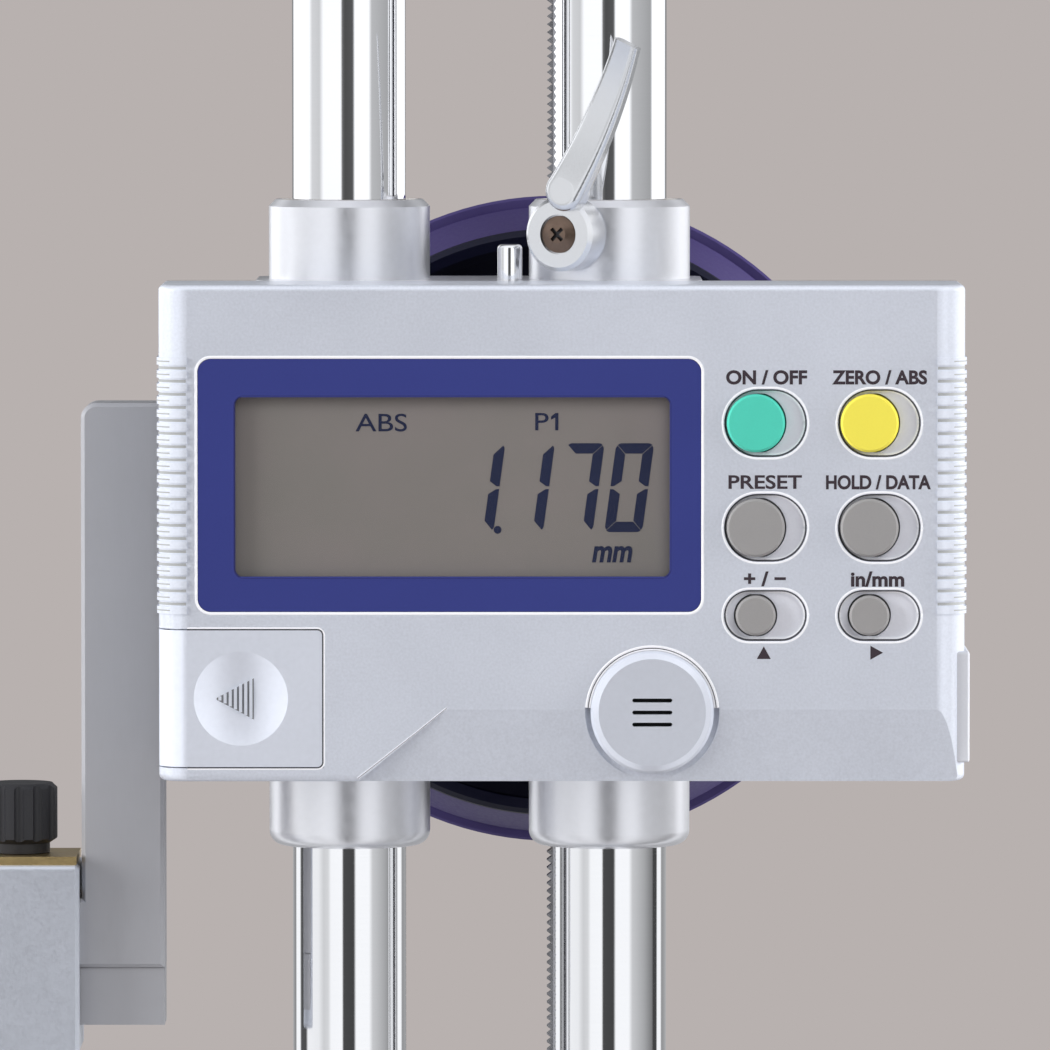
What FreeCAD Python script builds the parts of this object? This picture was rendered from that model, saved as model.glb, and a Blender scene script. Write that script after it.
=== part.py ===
import FreeCAD, Part
import math
import os
import Sketcher
from FreeCAD import Placement, Rotation, Vector

# Digital double-column height gauge. Millimetres, +Z up, display towards -Y, +X to the right.
# The origin lies on the ground underside of the base, midway between the two columns.

# Driving dimensions, one name each
SIZES = {
    # columns
    "column_pitch": 41.0,
    "column_diameter": 18.0,
    "column_socket": 22.0,
    "column_edge": 0.8,
    "foot_thread": 14.0,
    "foot_screw_head": 6.0,
    "bridge_thread": 10.0,
    "bridge_screw_head": 4.0,
    "column_bore_clearance": 0.05,
    "bridge_socket": 9.0,
    # base
    "base_left": 45.0,
    "base_right": 80.0,
    "base_front": 58.0,
    "base_rear": 84.0,
    "base_slab": 25.0,
    "base_height": 34.0,
    "base_corner": 12.0,
    "base_edge": 2.0,
    "base_relief": 1.5,
    "base_rail": 12.0,
    "pedestal_margin": 15.0,
    "pedestal_slope": 6.0,
    # top bridge
    "bridge_height": 14.0,
    "bridge_margin": 12.5,
    "bridge_edge": 1.5,
    # slide travel; the lock lever stands up into the upper gap
    "travel": 300.0,
    "travel_gap_low": 1.0,
    "travel_gap_high": 31.0,
    "rack_overrun": 6.0,
    # racks and pinions
    "rack_module": 0.4,
    "rack_tooth": 0.85,
    "rack_width": 3.2,
    "rack_bar": 2.2,
    "rack_clearance": 0.3,
    "feed_rack_proud": 0.85,
    "measuring_rack_sunk": 0.25,
    "pinion_teeth": 20.0,
    "pinion_face": 5.0,
    "pinion_addendum": 0.2,
    "pinion_dedendum": 0.55,
    "tooth_backlash": 0.16,
    "tooth_overcut": 0.3,
    "flank_slope": 0.53,
    "shaft_diameter": 4.0,
    "shaft_floor": 1.0,
    "shaft_gap": 0.2,
    "shaft_end": 1.0,
    "stub_length": 3.0,
    "measuring_pinion_z": 0.0,
    "running_clearance": 0.05,
    # wheel gearing behind the columns
    "gear_module": 0.5,
    "wheel_gear_teeth": 16.0,
    "feed_gear_teeth": 32.0,
    "gear_addendum": 0.4,
    "gear_dedendum": 0.55,
    "gear_backlash": 0.1,
    "gear_face": 4.0,
    "gear_start": 1.2,
    "wheel_axis_x": 11.9,
    "wheel_axis_z": -1.6,
    # slider casting
    "slider_height": 77.0,
    "slider_half_width": 35.0,
    "slider_front": 13.0,
    "slider_rear": 13.0,
    "slider_corner": 3.0,
    "collar_diameter": 25.4,
    "collar_span": 102.0,
    "collar_edge": 1.1,
    "collar_round": 2.3,
    "bush_diameter": 21.8,
    "bush_length": 16.0,
    "bush_lip": 0.4,
    "relief_diameter": 20.4,
    "cavity_wall": 4.0,
    "cavity_margin": 1.6,
    "cavity_opening": 0.6,
    # gear case and handwheel
    "case_left": 14.0,
    "case_right": 26.0,
    "case_top": 20.0,
    "case_bottom": 29.0,
    "case_depth": 9.0,
    "case_edge": 1.0,
    "case_thread": 2.6,
    "case_wall": 2.5,
    "case_corner": 5.0,
    "case_hub_radius": 8.0,
    "case_hub_length": 5.0,
    "case_screw_x": 7.0,
    "case_screw_top": 15.5,
    "case_screw_bottom": 25.2,
    "wheel_shaft_diameter": 6.0,
    "wheel_bush_diameter": 10.0,
    "wheel_gap": 1.0,
    "wheel_radius": 52.2,
    "wheel_mouth_radius": 47.0,
    "wheel_depth": 14.0,
    "wheel_lip": 2.6,
    "wheel_groove": 1.7,
    "wheel_groove_depth": 0.7,
    "wheel_wall": 2.4,
    "wheel_hub_radius": 11.0,
    "wheel_web": 3.0,
    "wheel_dish_radius": 30.0,
    "wheel_thread": 6.0,
    "wheel_lip_proud": 1.7,
    "wheel_bevel": 1.0,
    "wheel_edge": 0.4,
    "wheel_land": 4.0,
    "wheel_screw_seat": 8.0,
    "wheel_screw_head": 4.2,
    "dimple_radius": 6.5,
    "dimple_depth": 1.4,
    "dimple_reach": 36.5,
    # display housing
    "housing_offset": 12.9,
    "housing_width": 125.0,
    "housing_front": 35.0,
    "housing_depth": 20.0,
    "housing_face": 2.6,
    "housing_wall": 2.0,
    "housing_corner": 4.5,
    "housing_edge": 1.0,
    "mount_thread": 5.0,
    "mount_screw_x": 33.0,
    "mount_screw_z": 30.0,
    "boss_radius": 3.0,
    "boss_inset": 6.0,
    "boss_shift": 16.0,
    "boss_thread": 7.0,
    "plate_gap": 0.1,
    "bend_height": 11.2,
    "bend_depth": 1.6,
    "bend_foot": 95.3,
    "bend_run": 16.0,
    # grip ribs on both rounded sides
    "rib_count": 20.0,
    "rib_pitch": 2.03,
    "rib_thickness": 1.15,
    "rib_proud": 0.3,
    "rib_top": 27.2,
    "rib_reach": 7.0,
    # display
    "bezel_centre_x": 4.5,
    "bezel_centre_z": 7.45,
    "bezel_width": 77.8,
    "bezel_height": 39.1,
    "bezel_corner": 2.0,
    "bezel_thickness": 1.2,
    "fit_gap": 0.15,
    "window_width": 67.4,
    "window_height": 27.8,
    "window_corner": 0.8,
    "window_shift_x": 0.4,
    "window_shift_z": 0.25,
    "lens_margin": 1.8,
    "lcd_margin": 2.6,
    "board_gap": 4.2,
    "board_thickness": 1.6,
    "board_left": 39.5,
    "board_right": 65.5,
    "board_top": 33.0,
    "board_step_z": 12.0,
    "board_step_x": 20.0,
    "board_bottom": 28.5,
    # keys
    "key_column_x": 42.9,
    "key_pitch_x": 17.6,
    "key_row_one": 17.1,
    "key_row_two": 0.9,
    "key_row_three": -12.7,
    "key_radius": 4.5,
    "small_key_radius": 3.1,
    "key_gap": 0.25,
    "key_proud": 0.6,
    "key_flange": 0.9,
    "key_flange_thickness": 0.8,
    "key_travel": 0.8,
    "key_stem_radius": 1.6,
    "key_stem": 0.8,
    "key_rest_gap": 0.1,
    "key_edge": 0.35,
    "switch_side": 5.0,
    "slot_length": 12.8,
    "slot_height": 10.5,
    "small_slot_height": 7.9,
    "slot_depth": 1.1,
    "slot_shift": 1.5,
    # battery bay
    "lid_width": 25.4,
    "lid_height": 21.2,
    "lid_bottom": 2.3,
    "lid_wall": 1.5,
    "lid_wrap": 9.0,
    "lid_gap": 0.2,
    "lid_inner_corner": 1.4,
    "dish_radius": 7.3,
    "dish_depth": 0.95,
    "dish_offset": 12.8,
    "arrow_rib": 0.35,
    "arrow_length": 5.6,
    "arrow_height": 6.4,
    "arrow_count": 7.0,
    "arrow_lead": 3.5,
    "arrow_blunt": 0.7,
    "arrow_share": 0.6,
    "arrow_root": 0.3,
    "battery_radius": 10.0,
    "battery_thickness": 3.2,
    "battery_gap": 0.2,
    "contact_thickness": 0.4,
    "contact_reach": 7.0,
    "contact_half": 1.6,
    "bay_margin": 1.8,
    "bay_floor": 2.4,
    # round cap with three slots
    "cap_x": 26.9,
    "cap_z": 27.7,
    "cap_radius": 9.55,
    "cap_flat": 8.3,
    "cap_proud": 0.9,
    "cap_seat_radius": 10.4,
    "cap_seat": 1.5,
    "cap_wall": 1.2,
    "cap_edge": 0.4,
    "cap_rim": 0.6,
    "sound_hole_radius": 6.0,
    "cap_slot_length": 6.2,
    "cap_slot_height": 0.62,
    "cap_slot_pitch": 1.87,
    "sounder_radius": 7.0,
    # data port on the right side
    "port_top": 18.4,
    "port_height": 17.2,
    "port_depth": 11.0,
    "port_front": 8.5,
    "port_proud": 0.7,
    "port_lip": 1.6,
    "port_plug": 1.6,
    "port_corner": 0.8,
    "socket_recess": 3.0,
    "socket_depth": 8.0,
    # measuring arm and scriber
    "arm_left": 62.6,
    "arm_width": 13.0,
    "arm_screw_reach": 4.0,
    "arm_screw_z": 6.0,
    "arm_screw_seat": 5.0,
    "arm_screw_room": 3.8,
    "arm_thickness": 11.0,
    "arm_front": 8.5,
    "arm_top": 19.1,
    "arm_foot": 12.0,
    "arm_corner": 2.4,
    "arm_edge": 0.6,
    "jaw_length": 22.0,
    "jaw_height": 11.0,
    "scriber_drop": 85.0,
    "scriber_side": 9.0,
    "scriber_length": 78.0,
    "scriber_tip_drop": 6.0,
    "scriber_tip_length": 9.0,
    "scriber_slope": 18.0,
    "scriber_nose": 1.8,
    "tip_thickness": 1.6,
    "tip_lead": 0.6,
    "clamp_bar": 4.2,
    "clamp_side": 4.0,
    "clamp_length": 19.0,
    "clamp_corner": 0.8,
    "clamp_play": 0.3,
    "clamp_gap": 0.1,
    "pad_thickness": 1.4,
    "pad_inset": 1.0,
    "washer_thickness": 1.3,
    "washer_inset": 0.4,
    "washer_overhang": 3.0,
    "knob_radius": 5.8,
    "knob_height": 11.0,
    "knob_neck": 1.2,
    "knob_collar": 1.5,
    "knob_edge": 0.8,
    "knob_flutes": 12.0,
    "flute_offset": 0.35,
    "flute_radius": 0.9,
    "clamp_screw_diameter": 6.0,
    # slide lock on the upper right collar
    "lock_height": 45.8,
    "lock_azimuth": 27.0,
    "lever_lean": 25.0,
    "lever_hub_radius": 5.8,
    "lever_hub": 5.1,
    "lever_web": 1.0,
    "lever_reach": 18.0,
    "lever_length": 34.0,
    "lever_start": 6.95,
    "lever_root_reach": 18.5,
    "lever_crank": 7.5,
    "lever_root_shift": 1.3,
    "lever_tip_shift": 2.0,
    "lever_root_round": 1.2,
    "lever_root_width": 6.4,
    "lever_tip_width": 4.2,
    "lever_root_thickness": 3.6,
    "lever_tip_thickness": 2.6,
    "lever_sections": 4.0,
    "spindle_diameter": 5.0,
    "shoe_length": 2.2,
    "shoe_gap": 0.12,
    "shoe_side_gap": 0.1,
    "shoe_back_gap": 0.3,
    "lock_screw_radius": 2.9,
    "lock_screw_gap": 0.2,
    "lock_screw_edge": 0.3,
    "dome": 0.5,
    "dome_shoulder": 0.35,
    "lock_thread": 4.5,
    "cross_half": 0.3,
    "cross_reach": 1.3,
    "cross_angle": 45.0,
    "lever_edge": 0.6,
    "dowel_x": 4.8,
    "dowel_y": 9.0,
    "dowel_diameter": 3.9,
    "dowel_height": 5.6,
    "dowel_seat": 5.0,
    "dowel_edge": 0.7,
    # encoder on the left column
    "encoder_disc_radius": 11.0,
    "encoder_disc_thickness": 1.0,
    "encoder_disc_gap": 1.5,
    "encoder_windows": 12.0,
    "encoder_window_inner": 7.9,
    "encoder_window_outer": 9.9,
    "encoder_window_half": 0.45,
    "encoder_air_gap": 0.4,
    "encoder_head_wall": 1.2,
    "encoder_head_half": 4.0,
    "encoder_head_inner": 6.6,
    "encoder_plate_radius": 14.0,
    # screws
    "foot_screw": 8.0,
    "small_screw": 3.0,
    "small_head": 1.8,
    "arm_screw": 4.0,
    "bridge_screw": 5.0,
    "head_ratio": 1.7,
    "socket_ratio": 0.78,
    "socket_depth_share": 0.55,
    # how far a cutter reaches past the surface it opens
    "overcut": 1.0,
}

DOC = FreeCAD.newDocument("height_gauge")


class Size:
    """A number together with the spreadsheet formula behind it."""

    def __init__(self, number, formula):
        self.number = float(number)
        self.formula = formula

    def __float__(self):
        return self.number

    def __neg__(self):
        return Size(-self.number, "(-1 * %s)" % self.formula)

    def __add__(self, other):
        other = size_of(other)
        return Size(self.number + other.number, "(%s + %s)" % (self.formula, other.formula))

    def __sub__(self, other):
        other = size_of(other)
        return Size(self.number - other.number, "(%s - %s)" % (self.formula, other.formula))

    def __mul__(self, other):
        other = size_of(other)
        return Size(self.number * other.number, "(%s * %s)" % (self.formula, other.formula))

    def __truediv__(self, other):
        other = size_of(other)
        return Size(self.number / other.number, "(%s / %s)" % (self.formula, other.formula))

    def __radd__(self, other):
        return size_of(other) + self

    def __rsub__(self, other):
        return size_of(other) - self

    def __rmul__(self, other):
        return size_of(other) * self


def size_of(value):
    """Wrap a plain number so that it can stand in a formula."""
    if isinstance(value, Size):
        return value
    return Size(value, "(%r)" % float(value))


def root(value):
    """Square root of a size."""
    return Size(math.sqrt(value.number), "sqrt(%s)" % value.formula)


class Dimensions:
    """Reads each driving dimension back from the spreadsheet."""

    def __init__(self, sheet):
        self.sheet = sheet

    def __getattr__(self, alias):
        return Size(self.sheet.get(alias), "sizes." + alias)


def make_sheet():
    """Write the driving dimensions into a spreadsheet, one named cell each."""
    sheet = DOC.addObject("Spreadsheet::Sheet", "sizes")
    for row, alias in enumerate(SIZES, start=1):
        sheet.set("A%d" % row, alias)
        sheet.set("B%d" % row, str(SIZES[alias]))
        sheet.setAlias("B%d" % row, alias)
    DOC.recompute()
    return Dimensions(sheet)


D = make_sheet()

# Places that several pieces share
HALF_PITCH = D.column_pitch / 2
COLUMN_R = D.column_diameter / 2
SLIDER_Z = D.base_height + D.travel_gap_low + D.collar_span / 2 + D.travel / 2
COLUMN_FOOT = D.base_height - D.column_socket
BRIDGE_Z = D.base_height + D.travel_gap_low + D.collar_span + D.travel + D.travel_gap_high
COLUMN_TOP = BRIDGE_Z + D.bridge_socket
HALF_HEIGHT = D.slider_height / 2
HALF_SPAN = D.collar_span / 2
FACE_Y = -D.housing_front
INNER_FACE_Y = FACE_Y + D.housing_face
COVER_BACK_Y = FACE_Y + D.housing_depth
HOUSING_LEFT = D.housing_offset - D.housing_width / 2
HOUSING_RIGHT = D.housing_offset + D.housing_width / 2
BOARD_Y = INNER_FACE_Y + D.board_gap
PINION_R = D.rack_module * D.pinion_teeth / 2
GEAR_DISTANCE = D.gear_module * (D.wheel_gear_teeth + D.feed_gear_teeth) / 2
FEED_TIP_X = HALF_PITCH - COLUMN_R - D.feed_rack_proud
RACK_PITCHES = int((SIZES["travel"] / 2 + SIZES["rack_overrun"]) / (math.pi * SIZES["rack_module"]))
RACK_REACH = D.rack_module * math.pi * RACK_PITCHES
FEED_PINION_X = FEED_TIP_X + D.rack_tooth / 2 - PINION_R
AXIS_SHIFT = D.wheel_axis_x - FEED_PINION_X
FEED_PINION_Z = D.wheel_axis_z - root(GEAR_DISTANCE * GEAR_DISTANCE - AXIS_SHIFT * AXIS_SHIFT)
FEED_TIP = COLUMN_R + D.feed_rack_proud
MEASURING_TIP = COLUMN_R - D.measuring_rack_sunk
MEASURING_TIP_X = MEASURING_TIP - HALF_PITCH
MEASURING_PINION_Z = D.measuring_pinion_z
MEASURING_PINION_X = MEASURING_TIP_X - D.rack_tooth / 2 + PINION_R
CASE_BACK_Y = D.slider_rear + D.case_depth
HUB_END_Y = CASE_BACK_Y + D.case_hub_length
SCRIBER_BOTTOM = -D.scriber_drop
SHANK_BOTTOM = SCRIBER_BOTTOM + D.scriber_tip_drop
SHANK_TOP = SHANK_BOTTOM + D.scriber_side
JAW_TOP = SHANK_TOP + D.jaw_height
CLAMP_TOP = JAW_TOP + D.pad_thickness + D.clamp_bar
FOOT_SCREW_SEAT = D.foot_screw_head + D.base_relief
BRIDGE_SCREW_SEAT = BRIDGE_Z + D.bridge_height - D.bridge_screw_head
WHEEL_MOUTH_Y = HUB_END_Y + D.wheel_gap
WHEEL_BACK_Y = WHEEL_MOUTH_Y + D.wheel_depth
SHAFT_END_Y = WHEEL_BACK_Y - D.wheel_web
PLATE_FRONT_Y = COVER_BACK_Y
DISC_Y = PLATE_FRONT_Y - D.encoder_disc_gap - D.encoder_disc_thickness
ARM_SCREW_TIP = D.arm_screw_reach - D.slider_half_width
BATTERY_X = HOUSING_LEFT + D.dish_offset
BATTERY_Z = -HALF_HEIGHT + D.lid_bottom + D.lid_height / 2
CAP_Z = -D.cap_z
WINDOW_X = D.window_shift_x - D.bezel_centre_x
WINDOW_Z = D.bezel_centre_z - D.window_shift_z
LENS_WIDTH = D.window_width + D.lens_margin * 2
LENS_HEIGHT = D.window_height + D.lens_margin * 2
KEY_END_Y = INNER_FACE_Y + D.key_rest_gap + D.key_flange_thickness + D.key_stem
SWITCH_TOP_Y = KEY_END_Y + D.key_travel + D.key_rest_gap
WELL_FLOOR_Y = (FACE_Y + D.lid_wall + D.lid_gap + D.battery_thickness + D.contact_thickness)
BAY_BACK_Y = WELL_FLOOR_Y + D.bay_floor
BAY_RIGHT = HOUSING_LEFT + D.lid_width + D.bay_margin
BAY_TOP = D.lid_bottom + D.lid_height + D.bay_margin - HALF_HEIGHT
ARM_BACK_Y = D.arm_thickness - D.arm_front
ARM_MID_Y = D.arm_thickness / 2 - D.arm_front


# Sketch outlines. Each takes a sketch and adds one closed, fully held loop.

def hold(sketch, entries):
    """Add constraints, and bind those that come with a formula."""
    for constraint, value in entries:
        index = sketch.addConstraint(constraint)
        if isinstance(value, Size):
            sketch.setExpression("Constraints[%d]" % index, value.formula)


def at(geometry, point, x, y):
    """Two entries that hold a point at x, y."""
    entries = []
    for axis, value in (("X", x), ("Y", y)):
        if not isinstance(value, Size) and float(value) == 0.0:
            line = -2 if axis == "X" else -1
            entries.append((Sketcher.Constraint("PointOnObject", geometry, point, line), None))
        else:
            constraint = Sketcher.Constraint("Distance" + axis, geometry, point, float(value))
            entries.append((constraint, value))
    return entries


def circle(x, y, radius):
    """A full circle."""
    def draw(sketch):
        centre = Vector(float(x), float(y), 0)
        index = sketch.addGeometry(Part.Circle(centre, Vector(0, 0, 1), float(radius)), False)
        hold(sketch, at(index, 3, x, y))
        hold(sketch, [(Sketcher.Constraint("Radius", index, float(radius)), radius)])
    return draw


def polygon(points):
    """Straight edges through points, every point held by both coordinates."""
    def draw(sketch):
        count = len(points)
        flat = [Vector(float(x), float(y), 0) for x, y in points]
        lines = [Part.LineSegment(flat[i], flat[(i + 1) % count]) for i in range(count)]
        first = sketch.addGeometry(lines, False)[0]
        for i in range(count):
            following = first + (i + 1) % count
            hold(sketch, [(Sketcher.Constraint("Coincident", first + i, 2, following, 1), None)])
        for i, (x, y) in enumerate(points):
            hold(sketch, at(first + i, 1, x, y))
    return draw


def rectangle(x0, y0, x1, y1):
    """A rectangle between two corners."""
    return polygon([(x0, y0), (x1, y0), (x1, y1), (x0, y1)])


def arc(x, y, radius, start, end):
    """An arc of a circle, from start to end degrees."""
    whole = Part.Circle(Vector(float(x), float(y), 0), Vector(0, 0, 1), float(radius))
    return Part.ArcOfCircle(whole, math.radians(start), math.radians(end))


def rounded(x0, y0, x1, y1, radius):
    """A rectangle with four equal round corners."""
    def draw(sketch):
        left, low, right, high, r = (float(v) for v in (x0, y0, x1, y1, radius))
        edges = [
            Part.LineSegment(Vector(left + r, low, 0), Vector(right - r, low, 0)),
            arc(right - r, low + r, r, 270, 360),
            Part.LineSegment(Vector(right, low + r, 0), Vector(right, high - r, 0)),
            arc(right - r, high - r, r, 0, 90),
            Part.LineSegment(Vector(right - r, high, 0), Vector(left + r, high, 0)),
            arc(left + r, high - r, r, 90, 180),
            Part.LineSegment(Vector(left, high - r, 0), Vector(left, low + r, 0)),
            arc(left + r, low + r, r, 180, 270),
        ]
        first = sketch.addGeometry(edges, False)[0]
        for i in range(8):
            following = first + (i + 1) % 8
            hold(sketch, [(Sketcher.Constraint("Tangent", first + i, 2, following, 1), None)])
        for i, way in ((0, "Horizontal"), (2, "Vertical"), (4, "Horizontal"), (6, "Vertical")):
            hold(sketch, [(Sketcher.Constraint(way, first + i), None)])
        for i in (3, 5, 7):
            hold(sketch, [(Sketcher.Constraint("Equal", first + 1, first + i), None)])
        hold(sketch, [(Sketcher.Constraint("Radius", first + 1, r), radius)])
        hold(sketch, at(first + 7, 3, x0 + radius, y0 + radius))
        hold(sketch, at(first + 3, 3, x1 - radius, y1 - radius))
    return draw


def slot(x0, x1, y, radius):
    """A level slot with round ends centred at x0 and x1."""
    def draw(sketch):
        left, right, level, r = (float(v) for v in (x0, x1, y, radius))
        edges = [
            Part.LineSegment(Vector(left, level - r, 0), Vector(right, level - r, 0)),
            arc(right, level, r, -90, 90),
            Part.LineSegment(Vector(right, level + r, 0), Vector(left, level + r, 0)),
            arc(left, level, r, 90, 270),
        ]
        first = sketch.addGeometry(edges, False)[0]
        for i in range(4):
            following = first + (i + 1) % 4
            hold(sketch, [(Sketcher.Constraint("Tangent", first + i, 2, following, 1), None)])
        hold(sketch, [(Sketcher.Constraint("Horizontal", first), None),
                      (Sketcher.Constraint("Horizontal", first + 2), None),
                      (Sketcher.Constraint("Radius", first + 1, r), radius)])
        hold(sketch, at(first + 1, 3, x1, y))
        hold(sketch, at(first + 3, 3, x0, y)[:1])
    return draw


def lens_segment(radius, depth, face_y):
    """Half of a shallow round dish, to be turned about the sketch's vertical axis."""
    def draw(sketch):
        r, d, y = float(radius), float(depth), float(face_y)
        ball = (r * r + d * d) / (2 * d)
        centre_y = y + d - ball
        span = math.degrees(math.asin(r / ball))
        edges = [
            arc(0, centre_y, ball, 90 - span, 90),
            Part.LineSegment(Vector(0, y + d, 0), Vector(0, y, 0)),
            Part.LineSegment(Vector(0, y, 0), Vector(r, y, 0)),
        ]
        first = sketch.addGeometry(edges, False)[0]
        for one, other in ((0, 1), (1, 2)):
            hold(sketch, [(Sketcher.Constraint("Coincident", first + one, 2, first + other, 1), None)])
        hold(sketch, [(Sketcher.Constraint("Coincident", first + 2, 2, first, 1), None)])
        hold(sketch, at(first + 1, 1, 0, face_y + depth))
        hold(sketch, at(first + 2, 1, 0, face_y))
        hold(sketch, at(first, 1, radius, face_y))
        hold(sketch, [(Sketcher.Constraint("PointOnObject", first, 3, -2), None)])
    return draw


def grip_outline(side_x, towards):
    """A band that hugs one rounded front corner of the housing and runs back along its side."""
    def draw(sketch):
        r, out, inn = float(D.housing_corner), float(D.rib_proud), float(D.housing_wall) / 2
        cx = float(side_x) + towards * r
        cy = float(FACE_Y) + r
        end = cy + float(D.rib_reach)
        outer_x = float(side_x) - towards * out
        inner_x = float(side_x) + towards * inn
        angles = (180, 270) if towards > 0 else (270, 360)
        edges = [
            arc(cx, cy, r + out, *angles),
            arc(cx, cy, r - inn, *angles),
            Part.LineSegment(Vector(outer_x, cy, 0), Vector(outer_x, end, 0)),
            Part.LineSegment(Vector(outer_x, end, 0), Vector(inner_x, end, 0)),
            Part.LineSegment(Vector(inner_x, end, 0), Vector(inner_x, cy, 0)),
            Part.LineSegment(Vector(cx, cy - r + inn, 0), Vector(cx, cy - r - out, 0)),
        ]
        first = sketch.addGeometry(edges, False)[0]
        side_end, front_end = (1, 2) if towards > 0 else (2, 1)
        joins = [(first, side_end, first + 2, 1), (first + 2, 2, first + 3, 1),
                 (first + 3, 2, first + 4, 1), (first + 4, 2, first + 1, side_end),
                 (first + 1, front_end, first + 5, 1), (first + 5, 2, first, front_end)]
        for join in joins:
            hold(sketch, [(Sketcher.Constraint("Coincident", *join), None)])
        centre_x = side_x + towards * D.housing_corner
        centre_y = FACE_Y + D.housing_corner
        hold(sketch, at(first, 3, centre_x, centre_y))
        hold(sketch, at(first + 1, 3, centre_x, centre_y))
        outer_r = D.housing_corner + D.rib_proud
        inner_r = D.housing_corner - D.housing_wall / 2
        hold(sketch, [(Sketcher.Constraint("Radius", first, float(outer_r)), outer_r),
                      (Sketcher.Constraint("Radius", first + 1, float(inner_r)), inner_r),
                      (Sketcher.Constraint("Vertical", first + 2), None),
                      (Sketcher.Constraint("Horizontal", first + 3), None),
                      (Sketcher.Constraint("Vertical", first + 4), None),
                      (Sketcher.Constraint("Vertical", first + 5), None)])
        hold(sketch, at(first + 2, 1, centre_x, centre_y)[1:])
        hold(sketch, at(first + 4, 2, centre_x, centre_y)[1:])
        hold(sketch, at(first + 5, 1, centre_x, centre_y)[:1])
        hold(sketch, at(first + 2, 2, centre_x, centre_y + D.rib_reach)[1:])
    return draw


# Solid features

TOLERANCE = 1e-4


def bind(thing, path, value):
    """Tie a property to its formula."""
    if isinstance(value, Size):
        thing.setExpression(path, value.formula)


def place(thing, x=0, y=0, z=0, yaw=0, pitch=0):
    """Put a piece at x, y, z, tilted by pitch about Y and then turned by yaw about Z."""
    spot = Vector(float(x), float(y), float(z))
    thing.Placement = Placement(spot, Rotation(float(yaw), float(pitch), 0))
    for axis, value in (("x", x), ("y", y), ("z", z)):
        bind(thing, "Placement.Base." + axis, value)


def new_body(label, x=0, y=0, z=0, yaw=0, pitch=0):
    """An empty body in its place."""
    body = DOC.addObject("PartDesign::Body", label)
    body.Label = label
    body.AllowCompound = True
    place(body, x, y, z, yaw, pitch)
    return body


def sketch_on(body, role, offset, loops):
    """A sketch with the given loops on one of the body's own planes."""
    sketch = body.newObject("Sketcher::SketchObject", "outline")
    plane = [item for item in body.Origin.OriginFeatures if item.Role == role][0]
    sketch.AttachmentSupport = [(plane, "")]
    sketch.MapMode = "FlatFace"
    sketch.AttachmentOffset = Placement(Vector(0, 0, float(offset)), Rotation())
    bind(sketch, "AttachmentOffset.Base.z", offset)
    for loop in loops:
        loop(sketch)
    return sketch


def finish_feature(body, feature):
    """Recompute and fail loudly if the feature is broken."""
    body.Tip = feature
    DOC.recompute()
    if "Invalid" in feature.State or "Error" in feature.State or feature.Shape.isNull():
        raise ValueError("%s: %s failed" % (body.Label, feature.Name))
    return feature


def add(body, role, low, high, *loops):
    """Pad loops between two levels of the axis that crosses the plane."""
    low, high = size_of(low), size_of(high)
    offset = -high if role == "XZ_Plane" else low
    sketch = sketch_on(body, role, offset, loops)
    pad = body.newObject("PartDesign::Pad", "pad")
    pad.Profile = sketch
    pad.Length = float(high - low)
    bind(pad, "Length", high - low)
    return finish_feature(body, pad)


def cut(body, role, low, high, *loops):
    """Pocket loops between two levels of the axis that crosses the plane."""
    low, high = size_of(low), size_of(high)
    before = body.Tip.Shape.Volume
    offset = -low if role == "XZ_Plane" else high
    sketch = sketch_on(body, role, offset, loops)
    pocket = body.newObject("PartDesign::Pocket", "pocket")
    pocket.Profile = sketch
    pocket.Length = float(high - low)
    bind(pocket, "Length", high - low)
    finish_feature(body, pocket)
    if pocket.Shape.Volume >= before:
        raise ValueError("%s: a pocket cut nothing" % body.Label)
    return pocket


def turn(body, role, loop, remove=False):
    """Turn a loop about the sketch's vertical axis."""
    sketch = sketch_on(body, role, 0, [loop])
    kind = "PartDesign::Groove" if remove else "PartDesign::Revolution"
    feature = body.newObject(kind, "turned")
    feature.Profile = sketch
    feature.ReferenceAxis = (sketch, ["V_Axis"])
    feature.Angle = 360.0
    return finish_feature(body, feature)


def ring(body, feature, count):
    """Repeat a feature around the axis that crosses its sketch."""
    pattern = body.newObject("PartDesign::PolarPattern", "ring")
    pattern.Originals = [feature]
    pattern.Axis = (feature.Profile[0], ["N_Axis"])
    pattern.Angle = 360.0
    pattern.Occurrences = int(round(float(count)))
    bind(pattern, "Occurrences", count)
    return finish_feature(body, pattern)


def row(body, feature, step, count):
    """Repeat a feature along the axis that crosses its sketch, downwards."""
    pattern = body.newObject("PartDesign::LinearPattern", "row")
    pattern.Originals = [feature]
    pattern.Direction = (feature.Profile[0], ["N_Axis"])
    pattern.Reversed = True
    pattern.Length = float(step) * (float(count) - 1)
    bind(pattern, "Length", step * (count - 1))
    pattern.Occurrences = int(round(float(count)))
    bind(pattern, "Occurrences", count)
    return finish_feature(body, pattern)


def edges_at(body, test):
    """Names of the edges of the body's tip whose two ends both pass a test."""
    names = []
    for index, edge in enumerate(body.Tip.Shape.Edges, start=1):
        if all(test(vertex.Point) for vertex in edge.Vertexes):
            names.append("Edge%d" % index)
    if not names:
        raise ValueError("%s: no edge found to dress" % body.Label)
    return names


def dress(body, kind, size, test):
    """Fillet or chamfer the edges that pass a test."""
    names = edges_at(body, test)
    last = body.Tip
    feature = body.newObject("PartDesign::" + kind, kind.lower())
    feature.Base = (last, names)
    path = "Radius" if kind == "Fillet" else "Size"
    setattr(feature, path, float(size))
    bind(feature, path, size)
    return finish_feature(body, feature)


def near(value, target):
    """Whether two lengths are the same."""
    return abs(value - float(target)) < TOLERANCE


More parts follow.
